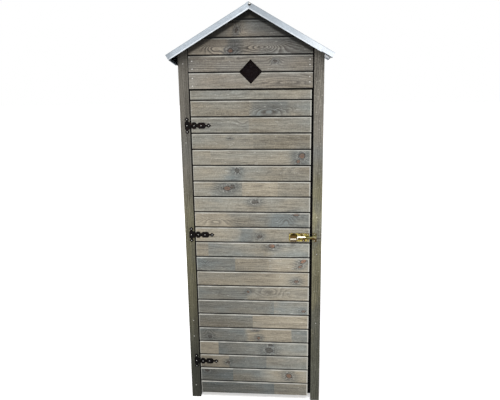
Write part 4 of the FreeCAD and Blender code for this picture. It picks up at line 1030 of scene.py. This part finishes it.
def screw_head(name, bright, dark):
    """Domed screw head that catches the light only at its crown."""
    paint = Paint(name)
    dull = paint.noise(paint.place, 90.0, 2.0)
    crown = paint.facing("Y").fade(-0.88, -0.96) * (0.6 + dull * 0.5)
    return paint.finish(
        Base_Color=paint.mix(crown.clamp(), dark, bright),
        Metallic=0.8,
        Roughness=(0.45 + (dull - 0.5) * 0.3).clamp(),
        Normal=paint.bump(dull, 0.1, 0.0003),
    )


def gauze_wire(name):
    """Dark, slightly rusty wire."""
    style = looks()
    paint = Paint(name)
    rust = paint.noise(paint.place, 120.0, 3.0)
    spots = rust.fade(0.4, 0.7)
    return paint.finish(
        Base_Color=paint.mix(spots, style.gauze, style.lacquer_brown),
        Roughness=(0.5 + (rust - 0.5) * 0.3).clamp(),
        Specular_IOR_Level=0.1,
        Normal=paint.bump(rust, 0.1, 0.0001),
    )


def bright_zinc(name):
    """Plain zinc of nail heads, dull in the boards, stained over in the posts."""
    style = looks()
    paint = Paint(name)
    x, _, z = paint.axes()
    dull = paint.noise(paint.place, 90.0, 2.0)
    metal = paint.mix(dull, style.bright_zinc, darker(style.bright_zinc, 0.75))
    post = abs(x).fade(POST_INNER_SIDE, POST_INNER_SIDE + 0.001)
    hole = post * x.fade(0.0, 0.01) * z.fade(1.60, 1.61)
    metal = paint.mix(post * 0.55, metal, style.post_wood)
    return paint.finish(
        Base_Color=paint.mix(hole, metal, style.knot_dark),
        Metallic=0.5,
        Roughness=(0.35 + (dull - 0.5) * 0.3).clamp(),
        Normal=paint.bump(dull, 0.1, 0.0003),
    )


def coat(material, *nodes):
    """Gives CAD nodes a material."""
    for node in nodes:
        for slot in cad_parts[node].material_slots:
            slot.material = material


def new_piece(name, mesh, body, material):
    """Piece from a finished bmesh, riding on a body."""
    data = bpy.data.meshes.new(name)
    mesh.to_mesh(data)
    mesh.free()
    data.materials.append(material)
    piece = placed(name, data)
    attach(piece, body)


def placed(name, data):
    """Object that carries a mesh, lamp or camera, put into the scene."""
    thing = bpy.data.objects.new(name, data)
    bpy.context.scene.collection.objects.link(thing)
    return thing


def skin(mesh, rings):
    """Quads between rings of points, and both ends closed."""
    for lower, upper in zip(rings, rings[1:]):
        for i, point in enumerate(lower):
            j = (i + 1) % len(lower)
            mesh.faces.new((point, lower[j], upper[j], upper[i]))
    mesh.faces.new(rings[-1])
    mesh.faces.new(rings[0][::-1])


class CABINET_OT_front_boards(bpy.types.Operator):
    """Finish the door boards and the gable boards"""

    bl_idname = "cabinet.front_boards"
    bl_label = "Front boards"

    def execute(self, context):
        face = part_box("door_boards")[0].y
        door = stained_boards(
            "door_wood", "X", DOOR_ROW_FOOT, lambda x, y: y - face, 3.1,
            knots=[knot for knot in KNOTS if knot.z < GABLE_ROW_FOOT],
            eyes=[eye for eye in EYES if eye.z < GABLE_ROW_FOOT],
            patches=PATCHES, joints=JOINTS,
            tip=lambda x, z: x - (DOOR_END_FOOT + z * DOOR_END_LEAN),
        )
        coat(door, "door_boards", "door_bottom_board", "door_top_board")
        gable_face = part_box("gable_board_1")[0].y
        gable = stained_boards(
            "gable_wood", "X", GABLE_ROW_FOOT, lambda x, y: y - gable_face, 7.7,
            knots=[knot for knot in KNOTS if knot.z >= GABLE_ROW_FOOT],
            eyes=[eye for eye in EYES if eye.z >= GABLE_ROW_FOOT],
            patches=GABLE_PATCHES, joints=(), figure=0.8, cast=(0.88, 0.87, 0.90),
        )
        coat(gable, *(f"gable_board_{number}" for number in range(1, 6)))
        return {"FINISHED"}


class CABINET_OT_walls(bpy.types.Operator):
    """Finish the side walls and the rear wall"""

    bl_idname = "cabinet.walls"
    bl_label = "Walls"

    def execute(self, context):
        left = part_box("wall_boards_left")[0].x
        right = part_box("wall_boards_right")[1].x
        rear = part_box("wall_boards_back")[1].y
        walls = (
            ("left", "Y", 11.3, lambda x, y: x - left),
            ("right", "Y", 17.9, lambda x, y: right - x),
            ("back", "X", 23.3, lambda x, y: rear - y),
        )
        for word, axis, seed, inward in walls:
            wood = stained_boards(f"{word}_wall_wood", axis, WALL_ROW_FOOT, inward, seed)
            coat(wood, f"wall_boards_{word}")
        return {"FINISHED"}


class CABINET_OT_posts(bpy.types.Operator):
    """Finish the corner posts"""

    bl_idname = "cabinet.posts"
    bl_label = "Posts"

    def execute(self, context):
        # Seed, lightness, gloom near the ground, height of the olive tone, stains, tilt
        posts = {
            "post_front_left": (1.3, 0.73, 0.70, 1.25, LEFT_POST_STAINS, 0.24),
            "post_front_right": (4.9, 1.16, 0.58, 1.40, RIGHT_POST_STAINS, -0.08),
            "post_rear_left": (8.2, 0.85, 0.6, 1.4),
            "post_rear_right": (12.6, 0.9, 0.5, 1.4),
        }
        for node, stain in posts.items():
            coat(stained_post(f"{node}_wood", *stain), node)
        return {"FINISHED"}


class CABINET_OT_frame_timber(bpy.types.Operator):
    """Finish the jambs and the raw timber inside"""

    bl_idname = "cabinet.frame_timber"
    bl_label = "Inner timber"

    def execute(self, context):
        runs = {
            "X": ("floor_rail_front", "floor_rail_back", "back_rail_top",
                  "door_ledge", "floor_boards", "gable_cleats", "shelf_lower",
                  "shelf_upper"),
            "Y": ("floor_rail_left", "floor_rail_right", "eave_rail_left",
                  "eave_rail_right", "ridge_beam", "shelf_battens"),
            "Z": ("side_battens", "back_battens", "door_stile_hinge",
                  "door_stile_bolt", "door_brace_lower", "door_brace_upper"),
        }
        for axis, nodes in runs.items():
            coat(raw_timber(f"raw_timber_{axis.lower()}", axis, ord(axis) * 0.1), *nodes)
        # Jambs and header rail painted near-black as the shade in the gaps round the door
        coat(jamb_painted_shade("jamb_shade", "Z"), "jamb_left", "jamb_right")
        coat(jamb_painted_shade("header_shade", "X"), "header_rail")
        return {"FINISHED"}


class CABINET_OT_roof(bpy.types.Operator):
    """Finish the roof sheets and their screws"""

    bl_idname = "cabinet.roof"
    bl_label = "Roof"

    def execute(self, context):
        coat(galvanised_sheet("zinc_sheet"), "roof_sheet_left", "roof_sheet_right")
        coat(sealed_screw("roof_screw_zinc"), "roof_screws")
        return {"FINISHED"}


class CABINET_OT_ironwork(bpy.types.Operator):
    """Finish the hinges and the bolt"""

    bl_idname = "cabinet.ironwork"
    bl_label = "Hinges and bolt"

    def execute(self, context):
        hinges = [
            f"hinge_{part}_{place}"
            for part in ("plate", "strap", "pin")
            for place in ("top", "middle", "bottom")
        ]
        coat(black_lacquer("hinge_lacquer"), *hinges)
        style = looks()
        coat(screw_head("hinge_screw_zinc", style.bright_zinc, style.lacquer),
             "hinge_plate_screws", "hinge_strap_screws")
        coat(screw_head("bolt_screw_zinc", style.yellow_highlight, style.brown_tarnish_and_shade),
             "bolt_screws", "keeper_screws")
        worn_rod = darker(style.yellow_olive, 0.60)
        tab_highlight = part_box("bolt_tab")[0].z + TAB_HIGHLIGHT
        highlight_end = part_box("bolt_barrel")[0].x
        olive, bright = style.yellow_olive, style.yellow_highlight
        # Front tone, tone painted on faces turned up, slope, roughness, painted highlight
        # band, painted highlight end
        tones = {
            "bolt_plate": (style.yellow_zinc, style.brown_tarnish_and_shade, 0.40, 0.34),
            "bolt_barrel": (olive, bright, 0.54, 0.22, None, highlight_end),
            "bolt_rod": (worn_rod, worn_rod, 0.40, 0.60),
            "bolt_tab": (style.brown_tarnish_and_shade, style.yellow_zinc, 0.40, 0.30, tab_highlight),
            "bolt_keeper": (style.post_olive, olive, 0.80, 0.55),
        }
        for node, tone in tones.items():
            coat(yellow_zinc(f"{node}_zinc", *tone), node)
        return {"FINISHED"}


class CABINET_OT_nails(bpy.types.Operator):
    """Finish the nails of the front and drive those of the walls"""

    bl_idname = "cabinet.nails"
    bl_label = "Nails"

    def execute(self, context):
        zinc = bright_zinc("nail_zinc")
        coat(zinc, "nails")
        radius = looks().nail_radius
        mesh = bmesh.new()
        scatter = random.Random(5)
        for side, node in ((-1, "wall_boards_left"), (1, "wall_boards_right")):
            low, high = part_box(node)
            face = low.x if side < 0 else high.x
            turn = Euler((0.0, side * math.pi / 2, 0.0)).to_matrix().to_4x4()
            for y in (low.y + NAIL_INSET, high.y - NAIL_INSET):
                for z in self.rows(low.z, high.z, scatter):
                    self.drive(mesh, Vector((face, y, z)), turn, radius)
        low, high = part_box("wall_boards_back")
        turn = Euler((-math.pi / 2, 0.0, 0.0)).to_matrix().to_4x4()
        for x in (low.x + NAIL_INSET, high.x - NAIL_INSET):
            for z in self.rows(low.z, REAR_NAIL_TOP, scatter):
                self.drive(mesh, Vector((x, high.y, z)), turn, radius)
        new_piece("wall_nails", mesh, "cabinet", zinc)
        return {"FINISHED"}

    @staticmethod
    def rows(low, high, scatter):
        """Heights of two nails in each board."""
        row = 0
        while low + (row + 1) * BOARD_PITCH < high:
            foot = low + row * BOARD_PITCH
            for share in NAIL_PLACES:
                miss = scatter.uniform(-NAIL_MISS, NAIL_MISS)
                yield foot + BOARD_PITCH * share + miss
            row += 1

    @staticmethod
    def drive(mesh, place, turn, radius):
        """Flat nail head, slightly domed, its rim 0.4 mm out of the wood."""
        rings = []
        for share, rise in NAIL_RINGS:
            ring = []
            for step in range(NAIL_SIDES):
                angle = 2 * math.pi * step / NAIL_SIDES
                spot = Vector((math.cos(angle) * share, math.sin(angle) * share, rise))
                ring.append(mesh.verts.new(place + turn @ (spot * radius)))
            rings.append(ring)
        skin(mesh, rings)


class CABINET_OT_vent_gauze(bpy.types.Operator):
    """Fasten the wire gauze behind the vent"""

    bl_idname = "cabinet.vent_gauze"
    bl_label = "Vent gauze"

    def execute(self, context):
        style = looks()
        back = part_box("gable_board_1")[1].y + GAUZE_ROOM
        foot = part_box("header_rail")[1].z + GAUZE_RISE
        top = foot + style.gauze_height
        half = style.gauze_width / 2
        mesh = bmesh.new()
        upright = int(style.gauze_width / style.gauze_pitch)
        for number in range(upright + 1):
            x = -half + number * style.gauze_pitch
            self.wire(mesh, (x, back, foot), (x, back, top), number)
        level = int(style.gauze_height / style.gauze_pitch)
        for number in range(level + 1):
            z = foot + number * style.gauze_pitch
            self.wire(mesh, (-half, back, z), (half, back, z), number)
        new_piece("vent_gauze", mesh, "cabinet", gauze_wire("gauze_wire"))
        return {"FINISHED"}

    @staticmethod
    def wire(mesh, start, end, number):
        """Crimped wire: over one crossing wire, under the next."""
        style = looks()
        start, end = Vector(start), Vector(end)
        run = end - start
        steps = round(run.length / style.gauze_pitch)
        inward = Vector((0.0, 1.0, 0.0))
        side = run.normalized().cross(inward)
        radius = style.gauze_wire / 2
        flip = 1 if abs(run.z) > abs(run.x) else -1
        rings = []
        for step in range(steps + 1):
            sway = radius * flip * (-1) ** (step + number)
            middle = start + run * (step / steps) + inward * (2 * radius + sway)
            rings.append([
                mesh.verts.new(middle + (side * a + inward * b) * radius)
                for a, b in ((1, 0), (0, 1), (-1, 0), (0, -1))
            ])
        skin(mesh, rings)


class CABINET_OT_stage(bpy.types.Operator):
    """Lay the floor, hang the lamps and stand the camera"""

    bl_idname = "cabinet.stage"
    bl_label = "Stage"

    def execute(self, context):
        style = context.scene.cabinet_stage
        self.lay_floor(style)
        self.light(style)
        self.stand_camera(style)
        context.scene.view_settings.view_transform = "Standard"
        return {"FINISHED"}

    @staticmethod
    def lay_floor(style):
        """Large floor that the camera sees as white, with the cabinet's soft shadow."""
        mesh = bmesh.new()
        bmesh.ops.create_grid(mesh, x_segments=2, y_segments=2, size=FLOOR_SIZE)
        data = bpy.data.meshes.new("floor")
        mesh.to_mesh(data)
        mesh.free()
        floor = placed("floor", data)
        paint = Paint("floor_paper")
        seen = paint.in_view()
        grain = paint.noise(paint.place, 14.0, 3.0)
        grey = paint.mix(grain * 0.1, style.floor, (0.7, 0.7, 0.7))
        lit = paint.mix(seen, grey, (style.floor_lift,) * 3)
        matt = paint.node("ShaderNodeBsdfDiffuse", None, {"Color": lit})
        glow = paint.node("ShaderNodeEmission", None, {"Color": WHITE, "Strength": 1.0})
        layers = {0: seen * 0.45, 1: matt, 2: glow}
        mixed = paint.node("ShaderNodeMixShader", None, layers)
        paint.node("ShaderNodeOutputMaterial", None, {"Surface": mixed})
        data.materials.append(paint.material)

    @staticmethod
    def hang_lamp(name, kind, place, aim, **settings):
        """Lamp turned to what it lights. Only the sun lamp shows in metal."""
        data = bpy.data.lights.new(name, kind)
        for key, setting in settings.items():
            setattr(data, key, setting)
        lamp = placed(name, data)
        lamp.location = place
        direction = Vector(aim) - Vector(place)
        lamp.rotation_euler = direction.to_track_quat("-Z", "Y").to_euler()
        lamp.visible_glossy = kind == "SUN"

    def light(self, style):
        """One large lamp in front, one behind, even light from above and all round."""
        self.hang_lamp("key", "AREA", (-0.9, -4.4, 1.8), (0.05, 0.0, 0.9),
                       energy=style.key_power, size=2.0, shape="SQUARE")
        self.hang_lamp("top", "SUN", (0.5, -1.9, 3.4), (0.0, 0.0, 0.0),
                       energy=style.sun_strength, angle=math.radians(34))
        self.hang_lamp("back", "AREA", (-2.2, 3.0, 2.6), (0.0, 0.0, 1.0),
                       energy=style.key_power * 1.3, size=2.0, shape="SQUARE")

        world = bpy.data.worlds.new("surroundings")
        bpy.context.scene.world = world
        sky = Paint("surroundings", world)
        strength = style.sky + sky.in_view() * (1.0 - style.sky)
        entries = {"Color": WHITE, "Strength": strength}
        background = sky.node("ShaderNodeBackground", None, entries)
        sky.node("ShaderNodeOutputWorld", None, {"Surface": background})

    @staticmethod
    def stand_camera(style):
        """Camera at the place that it had in the photo."""
        data = bpy.data.cameras.new("camera")
        data.sensor_width = SENSOR_WIDTH
        data.lens = style.focal_length
        data.shift_x, data.shift_y = CAMERA_SHIFT
        camera = placed("camera", data)
        right, up = Vector(CAMERA_RIGHT), Vector(CAMERA_UP)
        turn = Matrix((right, up, right.cross(up))).transposed().to_4x4()
        camera.matrix_world = Matrix.Translation(style.eye) @ turn
        bpy.context.scene.camera = camera


class CABINET_PT_looks(bpy.types.Panel):
    """Sizes, colours and steps of the cabinet's looks"""

    bl_idname = "CABINET_PT_looks"
    bl_label = "Garden cabinet"
    bl_space_type = "VIEW_3D"
    bl_region_type = "UI"
    bl_category = "Cabinet"

    def draw(self, context):
        for group in (context.scene.cabinet_looks, context.scene.cabinet_stage):
            column = self.layout.column()
            for name in group.__annotations__:
                column.prop(group, name)
        for step in STEPS:
            self.layout.operator(step.bl_idname)


STEPS = (
    CABINET_OT_stage,
    CABINET_OT_front_boards,
    CABINET_OT_walls,
    CABINET_OT_posts,
    CABINET_OT_frame_timber,
    CABINET_OT_roof,
    CABINET_OT_ironwork,
    CABINET_OT_nails,
    CABINET_OT_vent_gauze,
)
CLASSES = (CabinetLooks, StageLooks, *STEPS, CABINET_PT_looks)


def register():
    for item in CLASSES:
        bpy.utils.register_class(item)
    bpy.types.Scene.cabinet_looks = bpy.props.PointerProperty(type=CabinetLooks)
    bpy.types.Scene.cabinet_stage = bpy.props.PointerProperty(type=StageLooks)


def unregister():
    del bpy.types.Scene.cabinet_stage
    del bpy.types.Scene.cabinet_looks
    for item in reversed(CLASSES):
        bpy.utils.unregister_class(item)


def main():
    register()
    for step in STEPS:
        group, name = step.bl_idname.split(".")
        getattr(getattr(bpy.ops, group), name)()


if __name__ == "__main__":
    main()
